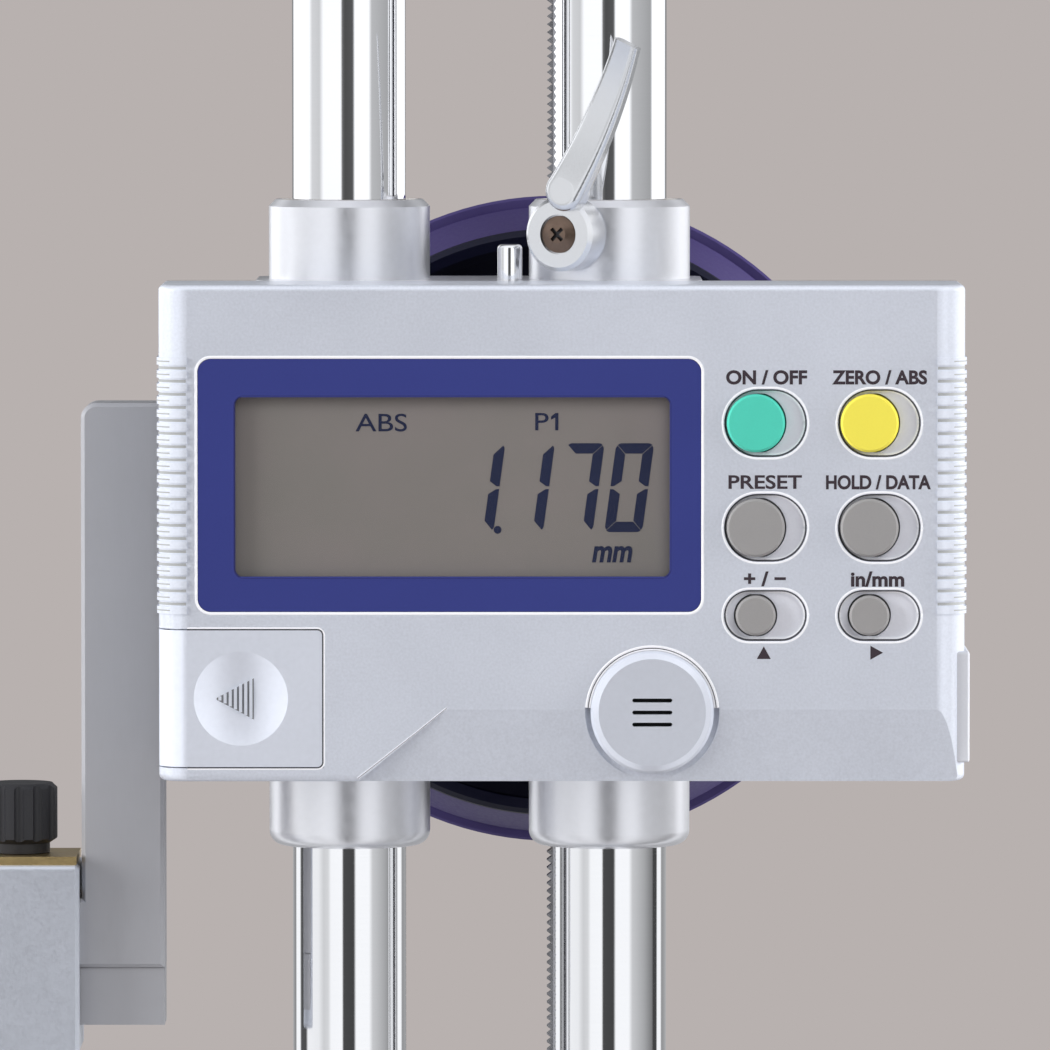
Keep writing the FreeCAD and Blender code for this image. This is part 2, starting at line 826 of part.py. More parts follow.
def screws(label, role, spots, seat, tip, shank, head_height, z=0):
    """Like screws in one node: shanks from seat to tip, heads on the other side of the seat."""
    body = new_body(label, z=z)
    add_screws(body, role, spots, seat, tip, shank, head_height)
    return body


def add_screws(body, role, spots, seat, tip, shank, head_height):
    """Put like screws into a body, all with their seat at one level."""
    seat, tip = size_of(seat), size_of(tip)
    outward = 1 if float(seat) > float(tip) else -1
    low, high = (tip, seat) if outward > 0 else (seat, tip)
    add(body, role, low, high, *[circle(u, v, shank / 2) for u, v in spots])
    top = seat + outward * head_height
    low, high = (seat, top) if outward > 0 else (top, seat)
    add(body, role, low, high, *[circle(u, v, shank * D.head_ratio / 2) for u, v in spots])
    bottom = top - outward * head_height * D.socket_depth_share
    low, high = (bottom, top) if outward > 0 else (top, bottom)
    cut(body, role, low, high, *[hexagon(u, v, shank * D.socket_ratio / 2) for u, v in spots])


def hexagon(x, y, flat):
    """A hexagon with its flats at the given distance from the centre."""
    corner = flat * 2 / root(size_of(3))
    points = [(x + corner * round(math.cos(math.radians(60 * i)), 9),
               y + corner * round(math.sin(math.radians(60 * i)), 9)) for i in range(6)]
    return polygon(points)


# Frame: base, columns, racks and top bridge

def make_base():
    """Ground cast base: slab, pedestal under the columns, sockets and relieved underside."""
    body = new_body("base")
    add(body, "XY_Plane", 0, D.base_slab,
        rounded(-D.base_left, -D.base_front, D.base_right, D.base_rear, D.base_corner))
    dress(body, "Chamfer", D.base_edge, lambda p: near(p.z, D.base_slab))
    margin = D.pedestal_margin
    add(body, "XY_Plane", D.base_slab, D.base_height,
        rounded(-HALF_PITCH - margin, -margin, HALF_PITCH + margin, margin, D.pedestal_slope))
    dress(body, "Chamfer", D.base_edge, lambda p: near(p.z, D.base_height))
    cut(body, "XY_Plane", COLUMN_FOOT, D.base_height,
        circle(-HALF_PITCH, 0, COLUMN_R), circle(HALF_PITCH, 0, COLUMN_R))
    cut(body, "XY_Plane", 0, COLUMN_FOOT,
        circle(-HALF_PITCH, 0, D.foot_screw / 2), circle(HALF_PITCH, 0, D.foot_screw / 2))
    cut(body, "XY_Plane", 0, FOOT_SCREW_SEAT,
        circle(-HALF_PITCH, 0, D.foot_screw), circle(HALF_PITCH, 0, D.foot_screw))
    rail = D.base_rail
    cut(body, "XY_Plane", 0, D.base_relief,
        rectangle(rail - D.base_left, rail - D.base_front, D.base_right - rail, -margin),
        rectangle(rail - D.base_left, margin, D.base_right - rail, D.base_rear - rail))


def make_column(label, side, tip_x):
    """A ground column: rack slot on its inner side and a threaded bore in each end."""
    body = new_body(label, x=side * HALF_PITCH)
    add(body, "XY_Plane", COLUMN_FOOT, COLUMN_TOP, circle(0, 0, COLUMN_R))
    dress(body, "Chamfer", D.column_edge, lambda p: near(p.z, COLUMN_FOOT))
    dress(body, "Chamfer", D.column_edge, lambda p: near(p.z, COLUMN_TOP))
    back = -side * (tip_x - D.rack_tooth - D.rack_bar)
    outside = -side * (COLUMN_R + D.overcut)
    half = D.rack_width / 2
    low, high = rack_ends(side)
    left, right = (outside, back) if side > 0 else (back, outside)
    cut(body, "XY_Plane", low, high, rectangle(left, -half, right, half))
    cut(body, "XY_Plane", COLUMN_FOOT, COLUMN_FOOT + D.foot_thread, circle(0, 0, D.foot_screw / 2))
    cut(body, "XY_Plane", COLUMN_TOP - D.bridge_thread, COLUMN_TOP,
        circle(0, 0, D.bridge_screw / 2))


def rack_ends(side):
    """Lowest and highest end of a rack: whole teeth to both sides of its pinion."""
    pinion_z = SLIDER_Z + (FEED_PINION_Z if side > 0 else MEASURING_PINION_Z)
    return pinion_z - RACK_REACH, pinion_z + RACK_REACH


def make_rack(label, side, tip_x):
    """A toothed bar let into a column; its teeth face the other column."""
    low, high = (float(end) for end in rack_ends(side))
    pitch = math.pi * float(D.rack_module)
    tip = float(tip_x)
    valley = tip - float(D.rack_tooth)
    back = valley - float(D.rack_bar)
    points = [Vector(-side * back, 0, high), Vector(-side * back, 0, low)]
    for tooth in range(int(round((high - low) / pitch))):
        foot = low + tooth * pitch
        points.append(Vector(-side * valley, 0, foot))
        points.append(Vector(-side * tip, 0, foot + pitch / 2))
    points.append(Vector(-side * valley, 0, high))
    face = Part.Face(Part.makePolygon(points + points[:1]))
    width = float(D.rack_width)
    face.translate(Vector(0, -width / 2, 0))
    feature = DOC.addObject("Part::Feature", label)
    feature.Shape = face.extrude(Vector(0, width, 0))
    feature.Label = label
    place(feature, x=side * HALF_PITCH)


def make_top_bridge():
    """Bar that ties the tops of the columns."""
    body = new_body("top_bridge")
    top = BRIDGE_Z + D.bridge_height
    add(body, "XY_Plane", BRIDGE_Z, top, slot(-HALF_PITCH, HALF_PITCH, 0, D.bridge_margin))
    dress(body, "Chamfer", D.bridge_edge, lambda p: near(p.z, top))
    spots = (-HALF_PITCH, HALF_PITCH)
    cut(body, "XY_Plane", BRIDGE_Z, COLUMN_TOP, *[circle(x, 0, COLUMN_R) for x in spots])
    cut(body, "XY_Plane", COLUMN_TOP, BRIDGE_SCREW_SEAT,
        *[circle(x, 0, D.bridge_screw / 2) for x in spots])
    cut(body, "XY_Plane", BRIDGE_SCREW_SEAT, top, *[circle(x, 0, D.bridge_screw) for x in spots])


def make_frame():
    """Everything that stands still."""
    make_base()
    spots = [(-HALF_PITCH, 0), (HALF_PITCH, 0)]
    screws("column_screws", "XY_Plane", spots, FOOT_SCREW_SEAT, COLUMN_FOOT + D.foot_thread,
           D.foot_screw, D.foot_screw_head)
    make_column("column_left", -1, MEASURING_TIP)
    make_column("column_right", 1, FEED_TIP)
    make_rack("rack_measuring", -1, MEASURING_TIP)
    make_rack("rack_feed", 1, FEED_TIP)
    make_top_bridge()
    screws("bridge_screws", "XY_Plane", spots, BRIDGE_SCREW_SEAT, COLUMN_TOP - D.bridge_thread,
           D.bridge_screw, D.bridge_screw_head)


# Slider: casting, bushes and gear train

def make_slider_body():
    """Casting with four collars, two long bores and a pocket for each pinion."""
    body = new_body("slider_body", z=SLIDER_Z)
    add(body, "XY_Plane", -HALF_HEIGHT, HALF_HEIGHT,
        rounded(-D.slider_half_width, -D.slider_front, D.slider_half_width, D.slider_rear,
                D.slider_corner))
    spots = (-HALF_PITCH, HALF_PITCH)
    add(body, "XY_Plane", -HALF_SPAN, HALF_SPAN,
        *[circle(x, 0, D.collar_diameter / 2) for x in spots])
    dress(body, "Chamfer", D.collar_edge, lambda p: near(p.z, HALF_SPAN))
    dress(body, "Fillet", D.collar_round, lambda p: near(p.z, -HALF_SPAN))
    cut(body, "XY_Plane", -HALF_SPAN, HALF_SPAN,
        *[circle(x, 0, D.relief_diameter / 2) for x in spots])
    seats = [circle(x, 0, D.bush_diameter / 2) for x in spots]
    cut(body, "XY_Plane", -HALF_SPAN, D.bush_length - HALF_SPAN, *seats)
    cut(body, "XY_Plane", HALF_SPAN - D.bush_length, HALF_SPAN, *seats)
    room = PINION_R + D.cavity_margin
    opening = HALF_PITCH - D.relief_diameter / 2 + D.cavity_opening
    cut(body, "XZ_Plane", D.cavity_wall - D.slider_front, D.slider_rear,
        rectangle(FEED_PINION_X - room, FEED_PINION_Z - room, opening, FEED_PINION_Z + room))
    cut(body, "XZ_Plane", -D.slider_front, D.slider_rear - D.cavity_wall,
        rectangle(-opening, MEASURING_PINION_Z - room,
                  MEASURING_PINION_X + room, MEASURING_PINION_Z + room))
    bearing = D.shaft_diameter / 2 + D.running_clearance
    cut(body, "XZ_Plane", D.shaft_floor - D.slider_front, D.cavity_wall - D.slider_front,
        circle(FEED_PINION_X, FEED_PINION_Z, bearing))
    cut(body, "XZ_Plane", D.slider_rear - D.cavity_wall, D.slider_rear - D.shaft_floor,
        circle(MEASURING_PINION_X, MEASURING_PINION_Z, bearing))
    cut(body, "XZ_Plane", D.slider_rear - D.stub_length - D.shaft_gap, D.slider_rear,
        circle(D.wheel_axis_x, D.wheel_axis_z, bearing))
    cut(body, "XZ_Plane", D.slider_rear - D.case_thread, D.slider_rear,
        *[circle(x, z, D.small_screw / 2) for x, z in case_screw_spots()])
    cut(body, "XZ_Plane", -D.slider_front, D.mount_thread - D.slider_front,
        *[circle(x, z, D.small_screw / 2) for x, z in mount_screw_spots()])
    cut(body, "YZ_Plane", -D.slider_half_width, ARM_SCREW_TIP,
        *[circle(y, z, D.arm_screw / 2) for y, z in arm_screw_spots()])
    cut(body, "XY_Plane", HALF_HEIGHT - D.dowel_seat, HALF_HEIGHT,
        circle(D.dowel_x, -D.dowel_y, D.dowel_diameter / 2))
    return body


def lock_bore(label, carrier, inner, outer, radius):
    """Drill a carrier with a radial bore at the slide lock."""
    drill = DOC.addObject("Part::Cylinder", label + "_drill")
    drill.Radius = float(radius)
    bind(drill, "Radius", radius)
    drill.Height = float(outer - inner)
    bind(drill, "Height", outer - inner)
    azimuth = math.radians(float(D.lock_azimuth))
    outward = Vector(-math.sin(azimuth), -math.cos(azimuth), 0)
    start = Vector(float(HALF_PITCH), 0, float(SLIDER_Z + D.lock_height)) + outward * float(inner)
    drill.Placement = Placement(start, Rotation(Vector(0, 0, 1), outward))
    result = DOC.addObject("Part::Cut", label)
    result.Base = carrier
    result.Tool = drill
    result.Label = label
    DOC.recompute()
    return result


def make_bush(label, side, top):
    """A guide bush, slotted where the proud feed rack runs through it."""
    low, high = bush_ends(top)
    body = new_body(label, x=side * HALF_PITCH, z=SLIDER_Z)
    add(body, "XY_Plane", low, high, circle(0, 0, D.bush_diameter / 2))
    cut(body, "XY_Plane", low, high, circle(0, 0, COLUMN_R + D.column_bore_clearance))
    if side > 0:
        half = D.rack_width / 2 + D.rack_clearance
        cut(body, "XY_Plane", low, high,
            rectangle(-(COLUMN_R + D.feed_rack_proud + D.rack_clearance), -half, 0, half))
    return body


def bush_ends(top):
    """Levels of a bush, a little inside the mouth of its collar."""
    inner = HALF_SPAN - D.bush_length
    outer = HALF_SPAN - D.bush_lip
    return (inner, outer) if top else (-outer, -inner)


def make_slider():
    """Casting and its four bushes; the slide lock passes through the upper right collar."""
    casting = make_slider_body()
    casting.Label = "slider_casting"
    spindle = D.spindle_diameter / 2
    lock_bore("slider_body", casting, D.bush_diameter / 2 - D.overcut,
              D.collar_diameter / 2 + D.overcut,
              spindle + D.running_clearance)
    make_bush("bush_upper_left", -1, True)
    make_bush("bush_lower_left", -1, False)
    make_bush("bush_lower_right", 1, False)
    plain = make_bush("bush_plain", 1, True)
    lock_bore("bush_upper_right", plain, COLUMN_R - D.overcut, D.bush_diameter / 2 + D.overcut,
              spindle + D.shoe_side_gap)


def cut_teeth(body, radius, module, count, addendum, dedendum, backlash, low, high):
    """Cut one tooth space and repeat it around the wheel; a tooth points along +X."""
    half_angle = math.pi / float(count)
    along, across = round(math.cos(half_angle), 9), round(math.sin(half_angle), 9)
    space = module * (math.pi / 4) + backlash
    root_r = radius - dedendum
    outer_r = radius + addendum + D.tooth_overcut
    points = []
    for r, way in ((root_r, -1), (outer_r, -1), (outer_r, 1), (root_r, 1)):
        w = way * (space + D.flank_slope * (r - radius))
        points.append((r * along - w * across, r * across + w * along))
    gap = cut(body, "XZ_Plane", low, high, polygon(points))
    ring(body, gap, count)


def make_feed_pinion():
    """Pinion and shaft in one, running on the feed rack."""
    body = new_body("feed_pinion", x=FEED_PINION_X, z=SLIDER_Z + FEED_PINION_Z)
    half = D.pinion_face / 2
    add(body, "XZ_Plane", -half, half, circle(0, 0, PINION_R + D.pinion_addendum))
    cut_teeth(body, PINION_R, D.rack_module, D.pinion_teeth, D.pinion_addendum,
              D.pinion_dedendum, D.tooth_backlash, -half, half)
    shaft = D.shaft_diameter / 2
    add(body, "XZ_Plane", D.shaft_floor + D.shaft_gap - D.slider_front,
        CASE_BACK_Y - D.shaft_floor - D.shaft_gap, circle(0, 0, shaft))


def make_feed_gear():
    """Brass gear on the feed pinion's shaft, driven by the handwheel's gear."""
    line = math.degrees(math.atan2(float(D.wheel_axis_z - FEED_PINION_Z), float(AXIS_SHIFT)))
    turned = line - 180 / float(D.feed_gear_teeth)
    body = new_body("feed_gear", x=FEED_PINION_X, z=SLIDER_Z + FEED_PINION_Z, pitch=-turned)
    radius = D.gear_module * D.feed_gear_teeth / 2
    low = D.slider_rear + D.gear_start
    high = low + D.gear_face
    add(body, "XZ_Plane", low, high, circle(0, 0, radius + D.gear_addendum))
    cut_teeth(body, radius, D.gear_module, D.feed_gear_teeth, D.gear_addendum,
              D.gear_dedendum, D.gear_backlash, low, high)
    cut(body, "XZ_Plane", low, high, circle(0, 0, D.shaft_diameter / 2))


def make_measuring_pinion():
    """Pinion and shaft in one, turned by the measuring rack."""
    body = new_body("measuring_pinion", x=MEASURING_PINION_X, z=SLIDER_Z + MEASURING_PINION_Z)
    half = D.rack_width / 2 - D.rack_clearance
    add(body, "XZ_Plane", -half, half, circle(0, 0, PINION_R + D.pinion_addendum))
    cut_teeth(body, PINION_R, D.rack_module, D.pinion_teeth, D.pinion_addendum,
              D.pinion_dedendum, D.tooth_backlash, -half, half)
    add(body, "XZ_Plane", DISC_Y - D.shaft_end, D.slider_rear - D.shaft_floor - D.shaft_gap,
        circle(0, 0, D.shaft_diameter / 2))


def make_encoder():
    """Slotted disc on the measuring pinion, its bearing plate and the reading head."""
    x, z = MEASURING_PINION_X, MEASURING_PINION_Z
    disc = new_body("encoder_disc", x=x, z=SLIDER_Z + z)
    add(disc, "XZ_Plane", DISC_Y, DISC_Y + D.encoder_disc_thickness,
        circle(0, 0, D.encoder_disc_radius))
    window = cut(disc, "XZ_Plane", DISC_Y, DISC_Y + D.encoder_disc_thickness,
                 rectangle(D.encoder_window_inner, -D.encoder_window_half,
                           D.encoder_window_outer, D.encoder_window_half))
    ring(disc, window, D.encoder_windows)
    cut(disc, "XZ_Plane", DISC_Y, DISC_Y + D.encoder_disc_thickness,
        circle(0, 0, D.shaft_diameter / 2))

    plate = new_body("encoder_plate", x=x, z=SLIDER_Z + z)
    low, high = PLATE_FRONT_Y, -D.slider_front
    add(plate, "XZ_Plane", low, high, circle(0, 0, D.encoder_plate_radius))
    cut(plate, "XZ_Plane", low, high, circle(0, 0, D.shaft_diameter / 2 + D.running_clearance))

    head = new_body("encoder_head", x=x, z=SLIDER_Z + z)
    reach = D.encoder_disc_radius
    gap = D.encoder_air_gap
    front = DISC_Y - gap - D.encoder_head_wall
    add(head, "XZ_Plane", front, PLATE_FRONT_Y,
        rectangle(D.encoder_head_inner, -D.encoder_head_half, reach + gap + D.encoder_head_wall,
                  D.encoder_head_half))
    cut(head, "XZ_Plane", DISC_Y - gap, DISC_Y + D.encoder_disc_thickness + gap,
        rectangle(D.encoder_head_inner - D.overcut, -D.encoder_head_half - D.overcut,
                  reach + gap, D.encoder_head_half + D.overcut))


def case_screw_spots():
    """Where the gear case is screwed to the casting."""
    return [(x, z) for z in (D.case_screw_top, -D.case_screw_bottom)
            for x in (-D.case_screw_x, D.case_screw_x)]


def make_gear_case():
    """Cover behind the casting that carries the handwheel's bush."""
    body = new_body("rear_case", z=SLIDER_Z)
    low, high = D.slider_rear, CASE_BACK_Y
    add(body, "XZ_Plane", low, high,
        rounded(-D.case_left, -D.case_bottom, D.case_right, D.case_top, D.case_corner))
    dress(body, "Chamfer", D.case_edge, lambda p: near(p.y, high))
    wall = D.case_wall
    inner = high - wall
    cut(body, "XZ_Plane", low, inner,
        rounded(wall - D.case_left, wall - D.case_bottom, D.case_right - wall,
                D.case_top - wall, D.case_corner - wall))
    spots = case_screw_spots()
    add(body, "XZ_Plane", low, inner, *[circle(x, z, D.small_screw) for x, z in spots])
    cut(body, "XZ_Plane", low, high, *[circle(x, z, D.small_screw / 2) for x, z in spots])
    add(body, "XZ_Plane", high, HUB_END_Y, circle(D.wheel_axis_x, D.wheel_axis_z, D.case_hub_radius))
    cut(body, "XZ_Plane", inner, HUB_END_Y,
        circle(D.wheel_axis_x, D.wheel_axis_z, D.wheel_bush_diameter / 2))
    cut(body, "XZ_Plane", inner, high - D.shaft_floor,
        circle(FEED_PINION_X, FEED_PINION_Z, D.shaft_diameter / 2 + D.running_clearance))
    screws("rear_case_screws", "XZ_Plane", spots, high, low - D.case_thread, D.small_screw,
           D.small_head, z=SLIDER_Z)

    bush = new_body("wheel_bush", x=D.wheel_axis_x, z=SLIDER_Z + D.wheel_axis_z)
    add(bush, "XZ_Plane", inner, HUB_END_Y, circle(0, 0, D.wheel_bush_diameter / 2))
    cut(bush, "XZ_Plane", inner, HUB_END_Y,
        circle(0, 0, D.wheel_shaft_diameter / 2 + D.running_clearance))


# Handwheel behind the slider

def wheel_body(label, pitch=0):
    """A body on the handwheel's axis."""
    return new_body(label, x=D.wheel_axis_x, z=SLIDER_Z + D.wheel_axis_z, pitch=pitch)


def make_wheel_shaft():
    """Shaft with its own gear, a stub in the casting and a seat for the wheel."""
    line = math.degrees(math.atan2(float(FEED_PINION_Z - D.wheel_axis_z), -float(AXIS_SHIFT)))
    body = wheel_body("wheel_shaft", pitch=-line)
    low = D.slider_rear + D.gear_start
    high = low + D.gear_face
    radius = D.gear_module * D.wheel_gear_teeth / 2
    add(body, "XZ_Plane", low, high, circle(0, 0, radius + D.gear_addendum))
    cut_teeth(body, radius, D.gear_module, D.wheel_gear_teeth, D.gear_addendum,
              D.gear_dedendum, D.gear_backlash, low, high)
    add(body, "XZ_Plane", D.slider_rear - D.stub_length, low, circle(0, 0, D.shaft_diameter / 2))
    add(body, "XZ_Plane", high, SHAFT_END_Y, circle(0, 0, D.wheel_shaft_diameter / 2))
    cut(body, "XZ_Plane", SHAFT_END_Y - D.wheel_thread, SHAFT_END_Y,
        circle(0, 0, D.small_screw / 2))


def make_handwheel():
    """Violet flared rim on a black disc, held by a screw in its recess."""
    mouth, back = WHEEL_MOUTH_Y, WHEEL_BACK_Y
    r, m, wall = D.wheel_radius, D.wheel_mouth_radius, D.wheel_wall
    lip = back - D.wheel_lip
    groove = lip - D.wheel_groove
    neck = r - D.wheel_lip_proud
    seat = neck - wall
    edge, bevel = D.wheel_edge, D.wheel_bevel
    rim = wheel_body("handwheel_rim")
    turn(rim, "XY_Plane", polygon([
        (m - wall, mouth), (m - edge * 2, mouth - edge), (m, mouth + edge), (neck, groove),
        (neck - D.wheel_groove_depth, groove + D.wheel_groove / 2), (neck, lip), (r - edge, lip),
        (r, lip + edge), (r, back - bevel), (r - bevel, back), (seat, back), (seat, lip - edge),
        (seat - edge, lip - edge)]))
    disc = wheel_body("handwheel_disc")
    hub, bore = D.wheel_hub_radius, D.wheel_shaft_diameter / 2
    web = back - D.wheel_web
    land = seat - D.wheel_land
    dish, well = D.wheel_dish_radius, D.wheel_screw_seat
    turn(disc, "XY_Plane", polygon([
        (bore, mouth + edge), (hub - bevel, mouth + edge), (hub, mouth + edge + bevel), (hub, web),
        (land - bevel, web), (land + bevel, web - bevel), (seat - edge, lip - edge),
        (seat, lip - edge), (seat, back - edge), (land + bevel, back - edge),
        (land, back - bevel), (dish, back - bevel), (dish - D.wheel_land, back - edge),
        (well + bevel + edge, back - edge), (well + bevel, back - edge * 2),
        (well, back - edge * 2), (well, SHAFT_END_Y), (bore, SHAFT_END_Y)]))
    face = back - bevel
    cut(disc, "XZ_Plane", face - D.dimple_depth, back, circle(D.dimple_reach, 0, D.dimple_radius))

    screw = wheel_body("handwheel_screw")
    shank, head = D.small_screw / 2, D.wheel_screw_head
    tip, top = SHAFT_END_Y - D.wheel_thread, SHAFT_END_Y + D.small_head
    turn(screw, "XY_Plane", polygon([
        (0, tip), (shank, tip), (shank, SHAFT_END_Y), (head, SHAFT_END_Y), (head - bevel, top),
        (0, top)]))


# Display housing

def mount_screw_spots():
    """Where the housing's back plate is screwed to the casting."""
    return [(x, z) for z in (-D.mount_screw_z, D.mount_screw_z)
            for x in (-D.mount_screw_x, D.mount_screw_x)]


def boss_spots():
    """Where the cover is screwed to its back plate; the second lies in the battery bay."""
    left = HOUSING_LEFT + D.boss_inset
    level = HALF_HEIGHT - D.boss_inset
    return [(left, level), (left, -level),
            (HOUSING_RIGHT - D.boss_inset, level), (HOUSING_RIGHT - D.boss_shift, -level)]


def key_spots():
    """Name, centre, radius, slot height of each key, row by row."""
    left, right = D.key_column_x, D.key_column_x + D.key_pitch_x
    large = (D.key_radius, D.slot_height)
    small = (D.small_key_radius, D.small_slot_height)
    return [("on_off_button", left, D.key_row_one) + large,
            ("zero_abs_button", right, D.key_row_one) + large,
            ("preset_button", left, D.key_row_two) + large,
            ("hold_data_button", right, D.key_row_two) + large,
            ("plus_minus_button", left, D.key_row_three) + small,
            ("inch_mm_button", right, D.key_row_three) + small]


def centred(x, z, width, height, radius):
    """A rounded rectangle about its centre."""
    return rounded(x - width / 2, z - height / 2, x + width / 2, z + height / 2, radius)


def lid_recess_outline():
    """Plan of the room that the wrap-around battery lid takes, with its gaps."""
    gap, wall = D.lid_gap, D.lid_wall
    right = HOUSING_LEFT + D.lid_width + gap
    front, side = FACE_Y + wall + gap, HOUSING_LEFT + wall + gap
    back = FACE_Y + D.lid_wrap + gap
    corner = D.lid_inner_corner
    outside_x, outside_y = HOUSING_LEFT - D.overcut, FACE_Y - D.overcut
    return polygon([(outside_x, outside_y), (right, outside_y), (right, front),
                    (side + corner, front), (side, front + corner), (side, back),
                    (outside_x, back)])


def make_front_shell():
    """Moulded cover: rounded sides with grip ribs, display recess, key slots, bay and port."""
    body = new_body("front_shell", z=SLIDER_Z)
    add(body, "XY_Plane", -HALF_HEIGHT, HALF_HEIGHT,
        rectangle(HOUSING_LEFT, FACE_Y, HOUSING_RIGHT, COVER_BACK_Y))
    for side in (HOUSING_LEFT, HOUSING_RIGHT):
        dress(body, "Fillet", D.housing_corner, lambda p: near(p.y, FACE_Y) and near(p.x, side))
    reach = float(FACE_Y + D.housing_corner) + TOLERANCE
    for level in (HALF_HEIGHT, -HALF_HEIGHT):
        dress(body, "Fillet", D.housing_edge, lambda p: near(p.z, level) and p.y < reach)
    ribs = add(body, "XY_Plane", D.rib_top - D.rib_thickness, D.rib_top,
               grip_outline(HOUSING_LEFT, 1), grip_outline(HOUSING_RIGHT, -1))
    row(body, ribs, D.rib_pitch, D.rib_count)
    hollow_shell(body)
    cut_display(body)
    cut_keys(body)
    cut(body, "XZ_Plane", FACE_Y, FACE_Y + D.cap_seat, circle(D.cap_x, CAP_Z, D.cap_seat_radius))
    cut(body, "XZ_Plane", FACE_Y + D.cap_seat, INNER_FACE_Y,
        circle(D.cap_x, CAP_Z, D.sound_hole_radius))
    cut(body, "XY_Plane", BATTERY_Z - D.lid_height / 2 - D.lid_gap,
        BATTERY_Z + D.lid_height / 2 + D.lid_gap, lid_recess_outline())
    cut(body, "XZ_Plane", FACE_Y + D.lid_wall, WELL_FLOOR_Y,
        circle(BATTERY_X, BATTERY_Z, D.battery_radius + D.battery_gap))
    y0, z0, y1, z1 = port_bounds(D.port_lip)
    cut(body, "YZ_Plane", HOUSING_RIGHT - D.housing_wall, HOUSING_RIGHT, rectangle(y0, z0, y1, z1))
    return body


def hollow_shell(body):
    """Inside of the cover: main room, room behind the battery bay and four screw bosses."""
    wall = D.housing_wall
    left, right = HOUSING_LEFT + wall, HOUSING_RIGHT - wall
    low, high = wall - HALF_HEIGHT, HALF_HEIGHT - wall
    cut(body, "XZ_Plane", INNER_FACE_Y, COVER_BACK_Y,
        polygon([(left, BAY_TOP), (BAY_RIGHT, BAY_TOP), (BAY_RIGHT, low), (right, low),
                 (right, high), (left, high)]))
    cut(body, "XZ_Plane", BAY_BACK_Y, COVER_BACK_Y, rectangle(left, low, BAY_RIGHT, BAY_TOP))
    spots = boss_spots()
    add(body, "XZ_Plane", INNER_FACE_Y, COVER_BACK_Y,
        *[circle(x, z, D.boss_radius) for x, z in spots])
    cut(body, "XZ_Plane", COVER_BACK_Y - D.boss_thread, COVER_BACK_Y,
        *[circle(x, z, D.small_screw / 2) for x, z in spots])


def cut_display(body):
    """Shallow recess for the bezel and the opening for the lens behind it."""
    gap = D.fit_gap * 2
    step = FACE_Y + D.bezel_thickness
    cut(body, "XZ_Plane", FACE_Y, step,
        centred(-D.bezel_centre_x, D.bezel_centre_z, D.bezel_width + gap, D.bezel_height + gap,
                D.bezel_corner + D.fit_gap))
    cut(body, "XZ_Plane", step, INNER_FACE_Y,
        centred(WINDOW_X, WINDOW_Z, LENS_WIDTH + gap, LENS_HEIGHT + gap,
                D.window_corner + D.fit_gap))


def cut_keys(body):
    """Obround recesses with a round hole in the floor of each."""
    floor = FACE_Y + D.slot_depth
    for name, x, z, radius, height in key_spots():
        centre = x + D.slot_shift
        half = (D.slot_length - height) / 2
        cut(body, "XZ_Plane", FACE_Y, floor, slot(centre - half, centre + half, z, height / 2))
    cut(body, "XZ_Plane", floor, INNER_FACE_Y,
        *[circle(x, z, radius + D.key_gap) for name, x, z, radius, height in key_spots()])


def make_front_cover():
    """The shell with its lower right face bent back behind a slanting step."""
    shell = make_front_shell()
    bend_z = D.bend_height - HALF_HEIGHT
    wedge = new_body("bend_wedge", z=SLIDER_Z)
    slope = D.bend_depth / D.bend_height
    over = D.overcut
    top, bottom = bend_z + over, -HALF_HEIGHT - over
    left, right = HOUSING_LEFT - over, HOUSING_RIGHT + over
    add(wedge, "YZ_Plane", left, right,
        polygon([(FACE_Y - slope * over, top), (FACE_Y - over * 2, top), (FACE_Y - over * 2, bottom),
                 (FACE_Y + D.bend_depth + slope * over, bottom)]))
    field = new_body("bend_field", z=SLIDER_Z)
    foot = HOUSING_RIGHT - D.bend_foot
    add(field, "XZ_Plane", FACE_Y - over, FACE_Y + D.bend_depth * 2,
        polygon([(foot, bottom), (right, bottom), (right, top), (foot + D.bend_run, top)]))
    tool = DOC.addObject("Part::Common", "bend")
    tool.Base = wedge
    tool.Tool = field
    cover = DOC.addObject("Part::Cut", "front_cover")
    cover.Base = shell
    cover.Tool = tool
    cover.Label = "front_cover"
    DOC.recompute()


def make_back_plate():
    """Plate that closes the cover and carries it on the casting."""
    body = new_body("housing_back", z=SLIDER_Z)
    low, high = COVER_BACK_Y, -D.slider_front
    add(body, "XZ_Plane", low, high,
        rounded(HOUSING_LEFT, -HALF_HEIGHT, HOUSING_RIGHT, HALF_HEIGHT, D.housing_edge))
    cut(body, "XZ_Plane", low, high,
        circle(MEASURING_PINION_X, MEASURING_PINION_Z, D.encoder_plate_radius + D.plate_gap))
    spots = boss_spots()
    cut(body, "XZ_Plane", low, high,
        *[circle(x, z, D.small_screw / 2) for x, z in spots + mount_screw_spots()])
    body = screws("housing_screws", "XZ_Plane", spots, high, high - D.boss_thread, D.small_screw,
                  D.small_head, z=SLIDER_Z)
    add_screws(body, "XZ_Plane", mount_screw_spots(), low, D.mount_thread - D.slider_front,
               D.small_screw, D.small_head)


